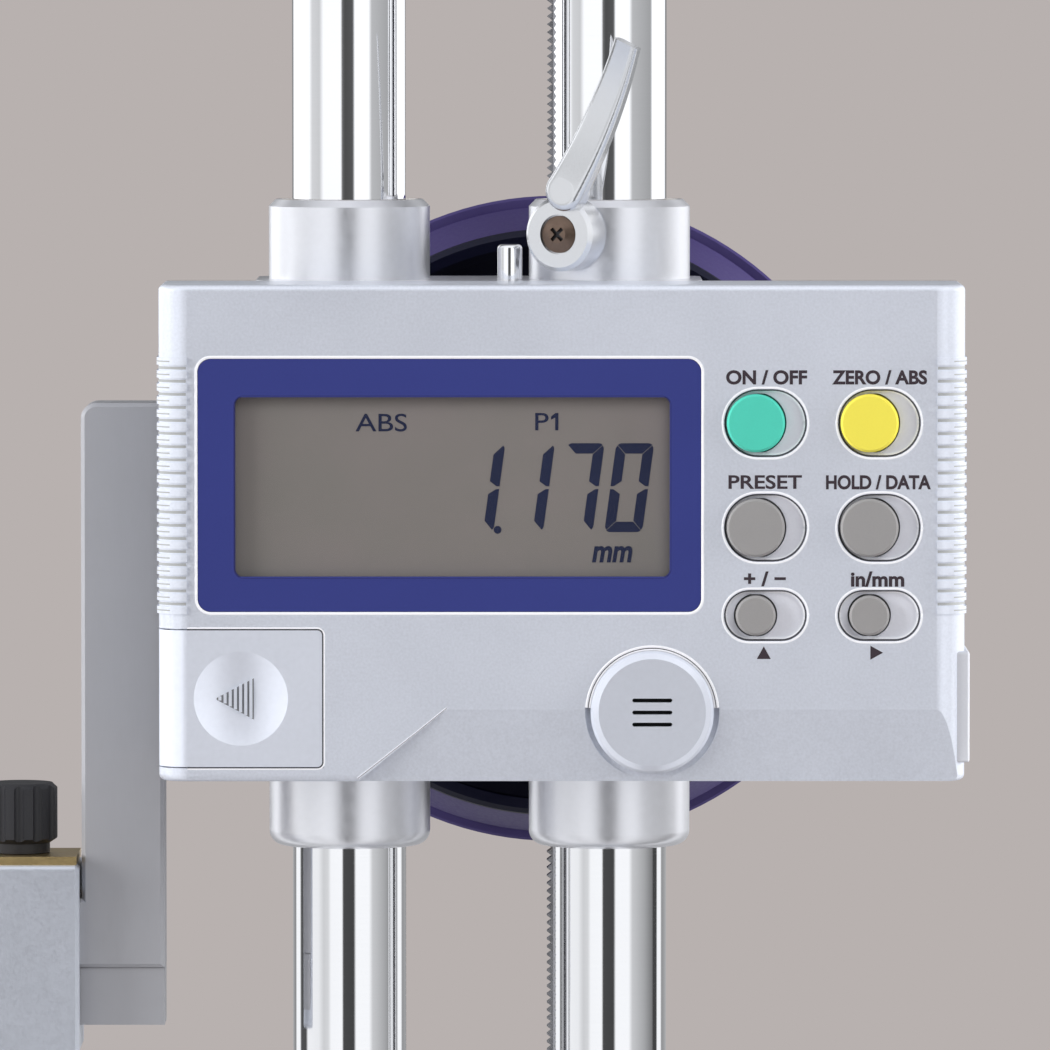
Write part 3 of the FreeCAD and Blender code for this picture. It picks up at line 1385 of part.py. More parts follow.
def make_display():
    """Bezel, lens, liquid crystal panel, circuit board and key switches."""
    bezel = new_body("display_bezel", z=SLIDER_Z)
    step = FACE_Y + D.bezel_thickness
    add(bezel, "XZ_Plane", FACE_Y, step,
        centred(-D.bezel_centre_x, D.bezel_centre_z, D.bezel_width, D.bezel_height,
                D.bezel_corner))
    cut(bezel, "XZ_Plane", FACE_Y, step,
        centred(WINDOW_X, WINDOW_Z, D.window_width, D.window_height, D.window_corner))
    lens = new_body("display_lens", z=SLIDER_Z)
    add(lens, "XZ_Plane", step, INNER_FACE_Y,
        centred(WINDOW_X, WINDOW_Z, LENS_WIDTH, LENS_HEIGHT, D.window_corner))
    panel = new_body("lcd_panel", z=SLIDER_Z)
    margin = D.lcd_margin * 2
    add(panel, "XZ_Plane", INNER_FACE_Y, BOARD_Y,
        centred(WINDOW_X, WINDOW_Z, D.window_width + margin, D.window_height + margin,
                D.window_corner))
    board = new_body("circuit_board", z=SLIDER_Z)
    add(board, "XZ_Plane", BOARD_Y, BOARD_Y + D.board_thickness,
        polygon([(-D.board_left, -D.board_step_z), (-D.board_step_x, -D.board_step_z),
                 (-D.board_step_x, -D.board_bottom), (D.board_right, -D.board_bottom),
                 (D.board_right, D.board_top), (-D.board_left, D.board_top)]))
    switches = new_body("key_switches", z=SLIDER_Z)
    half = D.switch_side / 2
    add(switches, "XZ_Plane", SWITCH_TOP_Y, BOARD_Y,
        *[rectangle(x - half, z - half, x + half, z + half)
          for name, x, z, radius, height in key_spots()])


def make_keys():
    """Round keys, each with a flange that keeps it in and a stem that reaches its switch."""
    for name, x, z, radius, height in key_spots():
        body = new_body(name, x=x, z=SLIDER_Z + z)
        front = FACE_Y - D.key_proud
        flange = INNER_FACE_Y + D.key_rest_gap
        back = flange + D.key_flange_thickness
        end = back + D.key_stem
        edge = D.key_edge
        turn(body, "XY_Plane", polygon([
            (0, front), (radius - edge, front), (radius, front + edge), (radius, flange),
            (radius + D.key_flange, flange), (radius + D.key_flange, back),
            (D.key_stem_radius, back), (D.key_stem_radius, end), (0, end)]))


def make_battery_bay():
    """Coin cell, its contact spring and the lid that slides off to the left."""
    cell = new_body("battery", x=BATTERY_X, z=SLIDER_Z + BATTERY_Z)
    back = WELL_FLOOR_Y - D.contact_thickness
    add(cell, "XZ_Plane", back - D.battery_thickness, back, circle(0, 0, D.battery_radius))
    front = back - D.battery_thickness
    dress(cell, "Chamfer", D.battery_gap, lambda p: near(p.y, front))
    contact = new_body("battery_contact", x=BATTERY_X, z=SLIDER_Z + BATTERY_Z)
    reach, half = D.contact_reach, D.contact_half
    add(contact, "XZ_Plane", back, WELL_FLOOR_Y,
        polygon([(-reach, -half), (reach, -half), (reach, half), (half, half), (half, reach),
                 (-half, reach), (-half, half), (-reach, half)]))

    lid = new_body("battery_cover", x=BATTERY_X, z=SLIDER_Z + BATTERY_Z)
    left = -D.dish_offset
    right = D.lid_width - D.dish_offset
    half = D.lid_height / 2
    add(lid, "XY_Plane", -half, half, rectangle(left, FACE_Y, right, FACE_Y + D.lid_wrap))
    dress(lid, "Fillet", D.housing_corner, lambda p: near(p.y, FACE_Y) and near(p.x, left))
    corner = D.lid_inner_corner
    side, inner = left + D.lid_wall, FACE_Y + D.lid_wall
    end = FACE_Y + D.lid_wrap
    cut(lid, "XY_Plane", -half, half,
        polygon([(right + D.overcut, inner), (side + corner, inner), (side, inner + corner),
                 (side, end + D.overcut), (right + D.overcut, end + D.overcut)]))
    turn(lid, "XY_Plane", lens_segment(D.dish_radius, D.dish_depth, FACE_Y), remove=True)
    floor = FACE_Y + D.dish_depth
    add(lid, "XZ_Plane", floor - D.arrow_rib, floor + D.arrow_root, *arrow_ribs())


def arrow_ribs():
    """Upright ribs whose heights make an arrow that points left."""
    loops = []
    step = D.arrow_length / D.arrow_count
    for index in range(int(SIZES["arrow_count"])):
        x = index * step - D.arrow_lead
        half = D.arrow_height / 2 * (index + D.arrow_blunt) / D.arrow_count
        loops.append(rectangle(x, -half, x + step * D.arrow_share, half))
    return loops


def make_sounder():
    """Round cap with three through slots over the sounder."""
    cap = new_body("sounder_cap", x=D.cap_x, z=SLIDER_Z + CAP_Z)
    back, front = FACE_Y + D.cap_seat, FACE_Y - D.cap_proud
    r, flat, wall, edge = D.cap_radius, D.cap_flat, D.cap_wall, D.cap_edge
    bore = D.sound_hole_radius + D.cap_rim
    turn(cap, "XY_Plane", polygon([
        (0, front), (flat, front), (r - edge, front + edge), (r, FACE_Y), (r, back),
        (bore, back), (bore, front + wall), (0, front + wall)]))
    half = (D.cap_slot_length - D.cap_slot_height) / 2
    for row_index in (-1, 0, 1):
        cut(cap, "XZ_Plane", front, front + wall,
            slot(-half, half, D.cap_slot_pitch * row_index, D.cap_slot_height / 2))
    sounder = new_body("sounder", x=D.cap_x, z=SLIDER_Z + CAP_Z)
    add(sounder, "XZ_Plane", INNER_FACE_Y, BOARD_Y, circle(0, 0, D.sounder_radius))


def port_bounds(inset):
    """Corners of the data port in depth and height, drawn in by an inset."""
    front = FACE_Y + D.port_front
    return (front + inset, -D.port_top - D.port_height + inset,
            front + D.port_depth - inset, -D.port_top - inset)


def make_data_port():
    """Socket inside the right wall and the cover that plugs it."""
    socket = new_body("data_port_socket", z=SLIDER_Z)
    y0, z0, y1, z1 = port_bounds(size_of(0))
    wall_x = HOUSING_RIGHT - D.housing_wall
    add(socket, "YZ_Plane", wall_x - D.socket_depth, wall_x,
        rectangle(BOARD_Y + D.board_thickness, z0 + D.port_corner, y1 - D.port_corner,
                  z1 - D.port_corner))
    y0, z0, y1, z1 = port_bounds(D.port_lip + D.port_corner)
    cut(socket, "YZ_Plane", wall_x - D.socket_recess, wall_x, rectangle(y0, z0, y1, z1))
    cover = new_body("data_port_cover", z=SLIDER_Z)
    y0, z0, y1, z1 = port_bounds(size_of(0))
    add(cover, "YZ_Plane", HOUSING_RIGHT, HOUSING_RIGHT + D.port_proud,
        rounded(y0, z0, y1, z1, D.port_corner))
    y0, z0, y1, z1 = port_bounds(D.port_lip + D.key_gap)
    add(cover, "YZ_Plane", HOUSING_RIGHT - D.port_plug, HOUSING_RIGHT, rectangle(y0, z0, y1, z1))


# Measuring arm and scriber

def arm_screw_spots():
    """Depth and level of the two screws through the arm's foot."""
    return [(ARM_MID_Y, -D.arm_screw_z), (ARM_MID_Y, D.arm_screw_z)]


def make_arm():
    """Upright plate with a foot against the casting and a jaw over the scriber."""
    body = new_body("measuring_arm", z=SLIDER_Z)
    left, right = -D.arm_left, D.arm_width - D.arm_left
    low = SHANK_TOP + D.clamp_gap
    add(body, "XZ_Plane", -D.arm_front, ARM_BACK_Y,
        polygon([(left - D.jaw_length, low), (right, low), (right, -D.arm_foot),
                 (-D.slider_half_width, -D.arm_foot), (-D.slider_half_width, D.arm_foot),
                 (right, D.arm_foot), (right, D.arm_top), (left, D.arm_top),
                 (left, JAW_TOP), (left - D.jaw_length, JAW_TOP)]))
    dress(body, "Fillet", D.arm_corner, lambda p: near(p.x, left) and near(p.z, D.arm_top))
    dress(body, "Chamfer", D.arm_edge, lambda p: near(p.y, -D.arm_front))
    spots = arm_screw_spots()
    cut(body, "YZ_Plane", left, -D.slider_half_width,
        *[circle(y, z, D.arm_screw / 2) for y, z in spots])
    cut(body, "YZ_Plane", left, left + D.arm_screw_seat,
        *[circle(y, z, D.arm_screw_room) for y, z in spots])
    screws("arm_screws", "YZ_Plane", spots, left + D.arm_screw_seat, ARM_SCREW_TIP, D.arm_screw,
           D.arm_screw, z=SLIDER_Z)


def make_scriber():
    """Scriber with a dropped nose and its carbide tip."""
    right = D.arm_width - D.arm_left
    left = right - D.scriber_length
    half = D.scriber_side / 2
    nose = SCRIBER_BOTTOM + D.tip_thickness
    tip_end = left + D.scriber_tip_length
    body = new_body("scriber", z=SLIDER_Z)
    add(body, "XZ_Plane", ARM_MID_Y - half, ARM_MID_Y + half,
        polygon([(right, SHANK_BOTTOM), (right, SHANK_TOP), (left + D.scriber_slope, SHANK_TOP),
                 (left, nose + D.scriber_nose), (left, nose), (tip_end, nose),
                 (tip_end + D.scriber_tip_drop, SHANK_BOTTOM)]))
    tip = new_body("scriber_tip", z=SLIDER_Z)
    add(tip, "XZ_Plane", ARM_MID_Y - half, ARM_MID_Y + half,
        polygon([(left - D.tip_lead, SCRIBER_BOTTOM), (tip_end, SCRIBER_BOTTOM),
                 (tip_end, nose), (left, nose)]))


def make_scriber_clamp():
    """Frame round jaw and scriber, drawn tight by a fluted screw on a brass pad."""
    right = -D.arm_left - D.clamp_play
    left = right - D.clamp_length
    centre = right - D.clamp_length / 2
    side = D.arm_thickness / 2 + D.clamp_gap
    body = new_body("scriber_clamp", z=SLIDER_Z)
    bottom = SHANK_BOTTOM - D.clamp_gap
    add(body, "YZ_Plane", left, right,
        rounded(ARM_MID_Y - side - D.clamp_side, bottom - D.clamp_bar,
                ARM_MID_Y + side + D.clamp_side, CLAMP_TOP, D.clamp_corner))
    dress(body, "Chamfer", D.arm_edge, lambda p: near(p.x, right))
    cut(body, "YZ_Plane", left, right,
        rectangle(ARM_MID_Y - side, bottom, ARM_MID_Y + side, CLAMP_TOP - D.clamp_bar))
    screw_r = D.clamp_screw_diameter / 2
    cut(body, "XY_Plane", CLAMP_TOP - D.clamp_bar, CLAMP_TOP,
        circle(centre, ARM_MID_Y, screw_r + D.running_clearance))
    pad = new_body("scriber_clamp_pad", z=SLIDER_Z)
    add(pad, "XY_Plane", JAW_TOP, JAW_TOP + D.pad_thickness,
        rectangle(left + D.pad_inset, ARM_MID_Y - side + D.clamp_play,
                  right - D.pad_inset, ARM_MID_Y + side - D.clamp_play))
    washer = new_body("scriber_clamp_washer", z=SLIDER_Z)
    inset, half = D.washer_inset, side + D.washer_overhang
    add(washer, "XY_Plane", CLAMP_TOP, CLAMP_TOP + D.washer_thickness,
        rectangle(left + inset, ARM_MID_Y - half, right - inset, ARM_MID_Y + half))
    cut(washer, "XY_Plane", CLAMP_TOP, CLAMP_TOP + D.washer_thickness,
        circle(centre, ARM_MID_Y, screw_r + D.running_clearance))
    knob = new_body("scriber_clamp_screw", x=centre, y=ARM_MID_Y, z=SLIDER_Z)
    foot = JAW_TOP + D.pad_thickness + D.running_clearance
    base = CLAMP_TOP + D.washer_thickness + D.clamp_gap
    top = base + D.knob_height
    shoulder = base + D.knob_collar
    r, neck, edge = D.knob_radius, D.knob_radius - D.knob_neck, D.knob_edge
    turn(knob, "XZ_Plane", polygon([
        (0, foot), (screw_r, foot), (screw_r, base), (neck, base), (neck, shoulder),
        (r, shoulder + edge), (r, top - edge), (r - edge, top), (0, top)]))
    flute = cut(knob, "XY_Plane", shoulder, top, circle(r + D.flute_offset, 0, D.flute_radius))
    ring(knob, flute, D.knob_flutes)


# Slide lock

def lock_body(label, pitch=0):
    """A body whose -Y axis is the lock's radial axis."""
    return new_body(label, x=HALF_PITCH, z=SLIDER_Z + D.lock_height, yaw=-SIZES["lock_azimuth"],
                    pitch=pitch)


def loft_arm(lever):
    """Arm of the lever: a round root on the hub's face, then a bar that narrows and bends outwards."""
    root_half, thick = D.lever_root_width / 2, D.lever_root_thickness
    face = -D.lever_root_reach - thick / 2
    add(lever, "XZ_Plane", face, face + thick, circle(-D.lever_root_shift, D.lever_start, root_half))
    dress(lever, "Fillet", D.lever_root_round, lambda p: near(p.y, face))
    steps = int(SIZES["lever_sections"]) - 1
    sketches = []
    for step in range(steps + 1):
        share = step / steps
        rest = 1 - share
        level = D.lever_start * rest + D.lever_length * share
        half = (D.lever_root_width * rest + D.lever_tip_width * share) / 2
        thick = D.lever_root_thickness * rest + D.lever_tip_thickness * share
        side = D.lever_tip_shift * share - D.lever_root_shift * rest
        face = -D.lever_root_reach - D.lever_crank * share ** 2 - thick / 2
        sketches.append(sketch_on(lever, "XY_Plane", level, [
            rounded(side - half, face, side + half, face + thick, thick / 3)]))
    arm = lever.newObject("PartDesign::AdditiveLoft", "arm")
    arm.Profile = sketches[0]
    arm.Sections = sketches[1:]
    finish_feature(lever, arm)


def make_lock():
    """Lever, its screw, the threaded spindle and the brass shoe that presses on the column."""
    front = -D.lever_reach
    back = front + D.lever_hub
    lever = lock_body("clamp_lever", pitch=SIZES["lever_lean"])
    add(lever, "XZ_Plane", front, back, circle(0, 0, D.lever_hub_radius))
    dress(lever, "Chamfer", D.lever_edge, lambda p: near(p.y, front))
    loft_arm(lever)
    web = front + D.lever_web
    screw_r, spindle_r = D.small_screw / 2, D.spindle_diameter / 2
    cut(lever, "XZ_Plane", front, web, circle(0, 0, D.lock_screw_radius + D.lock_screw_gap))
    cut(lever, "XZ_Plane", web, back, circle(0, 0, screw_r))
    cut(lever, "XZ_Plane", web + D.lever_web, back, circle(0, 0, spindle_r))

    screw = lock_body("clamp_lever_screw", pitch=SIZES["cross_angle"])
    r, rim = D.lock_screw_radius, front + D.lock_screw_edge
    crown = front - D.dome
    turn(screw, "XY_Plane", polygon([
        (0, crown), (r / 2, front - D.dome_shoulder), (r, rim), (r, web), (screw_r, web),
        (screw_r, web + D.lock_thread), (0, web + D.lock_thread)]))
    half, reach = D.cross_half, D.cross_reach
    cut(screw, "XZ_Plane", crown, rim, rectangle(-half, -reach, half, reach))
    cut(screw, "XZ_Plane", crown, rim, rectangle(-reach, -half, -half, half),
        rectangle(half, -half, reach, half))

    shoe_back = -(COLUMN_R + D.shoe_gap + D.shoe_length)
    spindle = lock_body("clamp_spindle")
    low, high = web + D.lever_web, shoe_back - D.shoe_back_gap
    add(spindle, "XZ_Plane", low, high, circle(0, 0, spindle_r))
    cut(spindle, "XZ_Plane", low, web + D.lock_thread, circle(0, 0, screw_r))
    shoe = lock_body("clamp_shoe")
    add(shoe, "XZ_Plane", shoe_back, shoe_back + D.shoe_length, circle(0, 0, spindle_r))

    pin = new_body("dowel_pin", x=D.dowel_x, y=-D.dowel_y, z=SLIDER_Z)
    top = HALF_HEIGHT + D.dowel_height
    add(pin, "XY_Plane", HALF_HEIGHT - D.dowel_seat, top, circle(0, 0, D.dowel_diameter / 2))
    dress(pin, "Fillet", D.dowel_edge, lambda p: near(p.z, top))


# Names of the helper shapes that other pieces are cut from
HELPERS = ("slider_casting", "bush_plain", "front_shell", "bend_wedge", "bend_field")


def pieces():
    """Every finished piece of the gauge."""
    kinds = ("PartDesign::Body", "Part::Cut", "Part::Feature")
    return [item for item in DOC.Objects
            if item.TypeId in kinds and item.Label not in HELPERS]


def check_and_write():
    """Refuse a broken document, then write one file for each piece."""
    DOC.recompute()
    for item in DOC.Objects:
        if "Invalid" in item.State or "Error" in item.State:
            raise ValueError("%s is %s" % (item.Label, item.State))
    os.makedirs("parts", exist_ok=True)
    for piece in pieces():
        if piece.Shape.isNull() or not piece.Shape.isValid() or not piece.Shape.Solids:
            raise ValueError("%s has no valid solid" % piece.Label)
        piece.Shape.exportStep("parts/%s.step" % piece.Label)
    print("%d pieces written" % len(pieces()))


make_frame()
make_slider()
make_feed_pinion()
make_feed_gear()
make_measuring_pinion()
make_encoder()
make_gear_case()
make_wheel_shaft()
make_handwheel()
make_front_cover()
make_back_plate()
make_display()
make_keys()
make_battery_bay()
make_sounder()
make_data_port()
make_arm()
make_scriber()
make_scriber_clamp()
make_lock()
check_and_write()
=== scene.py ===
import math

import bmesh
import bpy
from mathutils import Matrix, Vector


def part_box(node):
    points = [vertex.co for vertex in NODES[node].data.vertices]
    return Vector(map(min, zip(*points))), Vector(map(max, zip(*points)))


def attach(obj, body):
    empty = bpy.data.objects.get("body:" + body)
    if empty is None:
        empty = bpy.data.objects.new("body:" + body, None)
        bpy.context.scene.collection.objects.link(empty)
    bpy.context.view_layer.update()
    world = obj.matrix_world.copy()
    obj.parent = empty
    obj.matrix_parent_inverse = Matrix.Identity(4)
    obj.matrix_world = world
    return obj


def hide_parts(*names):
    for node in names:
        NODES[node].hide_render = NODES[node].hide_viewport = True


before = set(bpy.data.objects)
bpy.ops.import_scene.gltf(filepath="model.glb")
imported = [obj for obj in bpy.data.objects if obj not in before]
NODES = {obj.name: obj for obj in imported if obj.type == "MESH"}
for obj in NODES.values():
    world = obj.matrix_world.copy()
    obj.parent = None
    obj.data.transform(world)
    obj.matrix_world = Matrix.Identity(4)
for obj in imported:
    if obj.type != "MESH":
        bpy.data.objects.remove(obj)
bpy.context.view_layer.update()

MM = 0.001

# The photograph's frame: pixels for each millimetre in the plane of the columns, and its centre
PHOTO_SIDE = 1050
PIXELS_PER_MM = 6.333
CENTRE_X = 7.2
CENTRE_Z = 235.5
CAMERA_DISTANCE = 1700.0
CAMERA_TILT = math.radians(3.0)
LENS = 369.0
SENSOR = 36.0

FACE_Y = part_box("display_bezel")[0].y / MM
LCD_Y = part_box("lcd_panel")[0].y / MM


def photo_scale(y):
    """Pixels for each millimetre at a depth."""
    return PIXELS_PER_MM * CAMERA_DISTANCE / (CAMERA_DISTANCE + y)


def from_photo(px, py, y):
    """X and Z in millimetres of a photograph's pixel, in the plane at depth y."""
    scale = photo_scale(y)
    half = PHOTO_SIDE / 2
    x = CENTRE_X + (px - half) / scale
    z = CENTRE_Z + (half - py) / scale - math.tan(CAMERA_TILT) * y
    return x, z


# Colours

def linear(red, green, blue):
    """A display colour, 0 to 255, as the linear values that shaders take."""
    values = []
    for channel in (red, green, blue):
        share = channel / 255
        if share <= 0.04045:
            values.append(share / 12.92)
        else:
            values.append(((share + 0.055) / 1.055) ** 2.4)
    return tuple(values) + (1.0,)


def shade(colour, factor):
    """The same colour, lighter or darker."""
    return tuple(min(1.0, channel * factor) for channel in colour[:3]) + (1.0,)


BACKGROUND = linear(184, 177, 175)


# Material recipes

def new_material(name):
    """An empty node material with its principled shader."""
    material = bpy.data.materials.new(name)
    material.use_nodes = True
    tree = material.node_tree
    shader = tree.nodes["Principled BSDF"]
    return material, tree, shader


def coordinates(tree, stretch=(1, 1, 1)):
    """Object coordinates in metres, stretched along the axes."""
    source = tree.nodes.new("ShaderNodeTexCoord")
    mapping = tree.nodes.new("ShaderNodeMapping")
    mapping.inputs["Scale"].default_value = stretch
    tree.links.new(source.outputs["Object"], mapping.inputs["Vector"])
    return mapping.outputs["Vector"]


def noise(tree, vector, scale, detail=2.0, roughness=0.5):
    """A noise pattern's factor."""
    node = tree.nodes.new("ShaderNodeTexNoise")
    node.inputs["Scale"].default_value = scale
    node.inputs["Detail"].default_value = detail
    node.inputs["Roughness"].default_value = roughness
    tree.links.new(vector, node.inputs["Vector"])
    return node.outputs["Fac"]


def between(tree, factor, low, high, start=0.3, end=0.7):
    """Blend two colours by a factor."""
    ramp = tree.nodes.new("ShaderNodeValToRGB")
    ramp.color_ramp.elements[0].position = start
    ramp.color_ramp.elements[0].color = low
    ramp.color_ramp.elements[1].position = end
    ramp.color_ramp.elements[1].color = high
    tree.links.new(factor, ramp.inputs["Fac"])
    return ramp.outputs["Color"]


def spread(tree, factor, low, high):
    """Map a factor from 0..1 to a range."""
    node = tree.nodes.new("ShaderNodeMapRange")
    node.inputs["From Min"].default_value = 0.3
    node.inputs["From Max"].default_value = 0.7
    node.inputs["To Min"].default_value = low
    node.inputs["To Max"].default_value = high
    tree.links.new(factor, node.inputs["Value"])
    return node.outputs["Result"]


def bump(tree, shader, height, depth):
    """Raise the surface by a pattern, depth in metres."""
    node = tree.nodes.new("ShaderNodeBump")
    node.inputs["Distance"].default_value = depth
    tree.links.new(height, node.inputs["Height"])
    tree.links.new(node.outputs["Normal"], shader.inputs["Normal"])


def mean(tree, first, second):
    """Half of one factor and half of another."""
    half = tree.nodes.new("ShaderNodeMath")
    half.operation = "MULTIPLY"
    half.inputs[1].default_value = 0.5
    tree.links.new(second, half.inputs[0])
    mixed = tree.nodes.new("ShaderNodeMath")
    mixed.operation = "MULTIPLY_ADD"
    mixed.inputs[1].default_value = 0.5
    tree.links.new(first, mixed.inputs[0])
    tree.links.new(half.outputs[0], mixed.inputs[2])
    return mixed.outputs[0]


def surface(name, colour, metallic=0.0, roughness=0.5, vary=0.06, vary_scale=60.0,
            grain=2500.0, depth=0.00001, stretch=(1, 1, 1), rough_vary=0.05, specular=0.5):
    """A finish with mottled colour, uneven gloss and, where it has a depth, fine grain."""
    material, tree, shader = new_material(name)
    shader.inputs["Metallic"].default_value = metallic
    shader.inputs["Specular IOR Level"].default_value = specular
    broad = noise(tree, coordinates(tree), vary_scale, detail=4.0)
    fine = noise(tree, coordinates(tree, stretch), grain, detail=3.0)
    mottle = mean(tree, fine, broad)
    tint = between(tree, mottle, shade(colour, 1 - vary), shade(colour, 1 + vary))
    tree.links.new(tint, shader.inputs["Base Color"])
    gloss = spread(tree, fine, roughness - rough_vary, roughness + rough_vary)
    tree.links.new(gloss, shader.inputs["Roughness"])
    if depth:
        bump(tree, shader, fine, depth)
    return material


def chrome():
    """Hard chrome with faint grinding rings."""
    return surface("chrome", (0.93, 0.935, 0.95, 1), metallic=1.0, roughness=0.05, vary=0.02,
                   vary_scale=25.0, grain=900.0, depth=0.0000004, stretch=(0.15, 0.15, 9),
                   rough_vary=0.015)


def lens_material():
    """Clear cover over the display."""
    material, tree, shader = new_material("clear_lens")
    shader.inputs["Base Color"].default_value = (0.3, 0.32, 0.31, 1)
    shader.inputs["Alpha"].default_value = 0.03
    vector = coordinates(tree)
    haze = noise(tree, vector, 90.0)
    gloss = spread(tree, haze, 0.03, 0.07)
    tree.links.new(gloss, shader.inputs["Roughness"])
    return material


def lcd_material():
    """Grey reflective panel of the liquid crystal display, with its faint colour cast."""
    material, tree, shader = new_material("lcd_reflector")
    shader.inputs["Specular IOR Level"].default_value = 0.25
    vector = coordinates(tree)
    cloud = noise(tree, vector, 35.0, detail=3.0)
    tint = between(tree, cloud, linear(115, 112, 108), linear(121, 115, 113), 0.35, 0.65)
    tree.links.new(tint, shader.inputs["Base Color"])
    sparkle = noise(tree, vector, 6000.0)
    gloss = spread(tree, sparkle, 0.5, 0.62)
    tree.links.new(gloss, shader.inputs["Roughness"])
    bump(tree, shader, sparkle, 0.000003)
    return material


SILVER = linear(222, 227, 238)
VIOLET = linear(70, 60, 112)
NAVY = linear(3, 4, 32)
RIM_MOUTH = 0.0472


def rim_material():
    """Violet paint outside the handwheel's mouth, dark navy inside it."""
    material = surface("violet_rim", VIOLET, 0.35, 0.42, vary=0.05, vary_scale=60, grain=1500,
                       depth=0.000008)
    tree = material.node_tree
    shader = tree.nodes["Principled BSDF"]
    low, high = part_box("handwheel_rim")
    centre = (low + high) / 2
    source = tree.nodes.new("ShaderNodeTexCoord")
    offset = tree.nodes.new("ShaderNodeVectorMath")
    offset.operation = "SUBTRACT"
    offset.inputs[1].default_value = centre
    tree.links.new(source.outputs["Object"], offset.inputs[0])
    across = tree.nodes.new("ShaderNodeVectorMath")
    across.operation = "MULTIPLY"
    across.inputs[1].default_value = (1, 0, 1)
    tree.links.new(offset.outputs["Vector"], across.inputs[0])
    length = tree.nodes.new("ShaderNodeVectorMath")
    length.operation = "LENGTH"
    tree.links.new(across.outputs["Vector"], length.inputs[0])
    inside = tree.nodes.new("ShaderNodeMath")
    inside.operation = "LESS_THAN"
    inside.inputs[1].default_value = RIM_MOUTH
    tree.links.new(length.outputs["Value"], inside.inputs[0])
    painted = shader.inputs["Base Color"].links[0].from_socket
    tint = mix_colour(tree, inside.outputs[0], painted, NAVY)
    tree.links.new(tint, shader.inputs["Base Color"])
    return material


def mix_colour(tree, factor, low, high):
    """Blend two colours, each given as a value or as a socket."""
    node = tree.nodes.new("ShaderNodeMix")
    node.data_type = "RGBA"
    tree.links.new(factor, node.inputs["Factor"])
    for socket, value in ((node.inputs[6], low), (node.inputs[7], high)):
        if isinstance(value, tuple):
            socket.default_value = value
        else:
            tree.links.new(value, socket)
    return node.outputs[2]


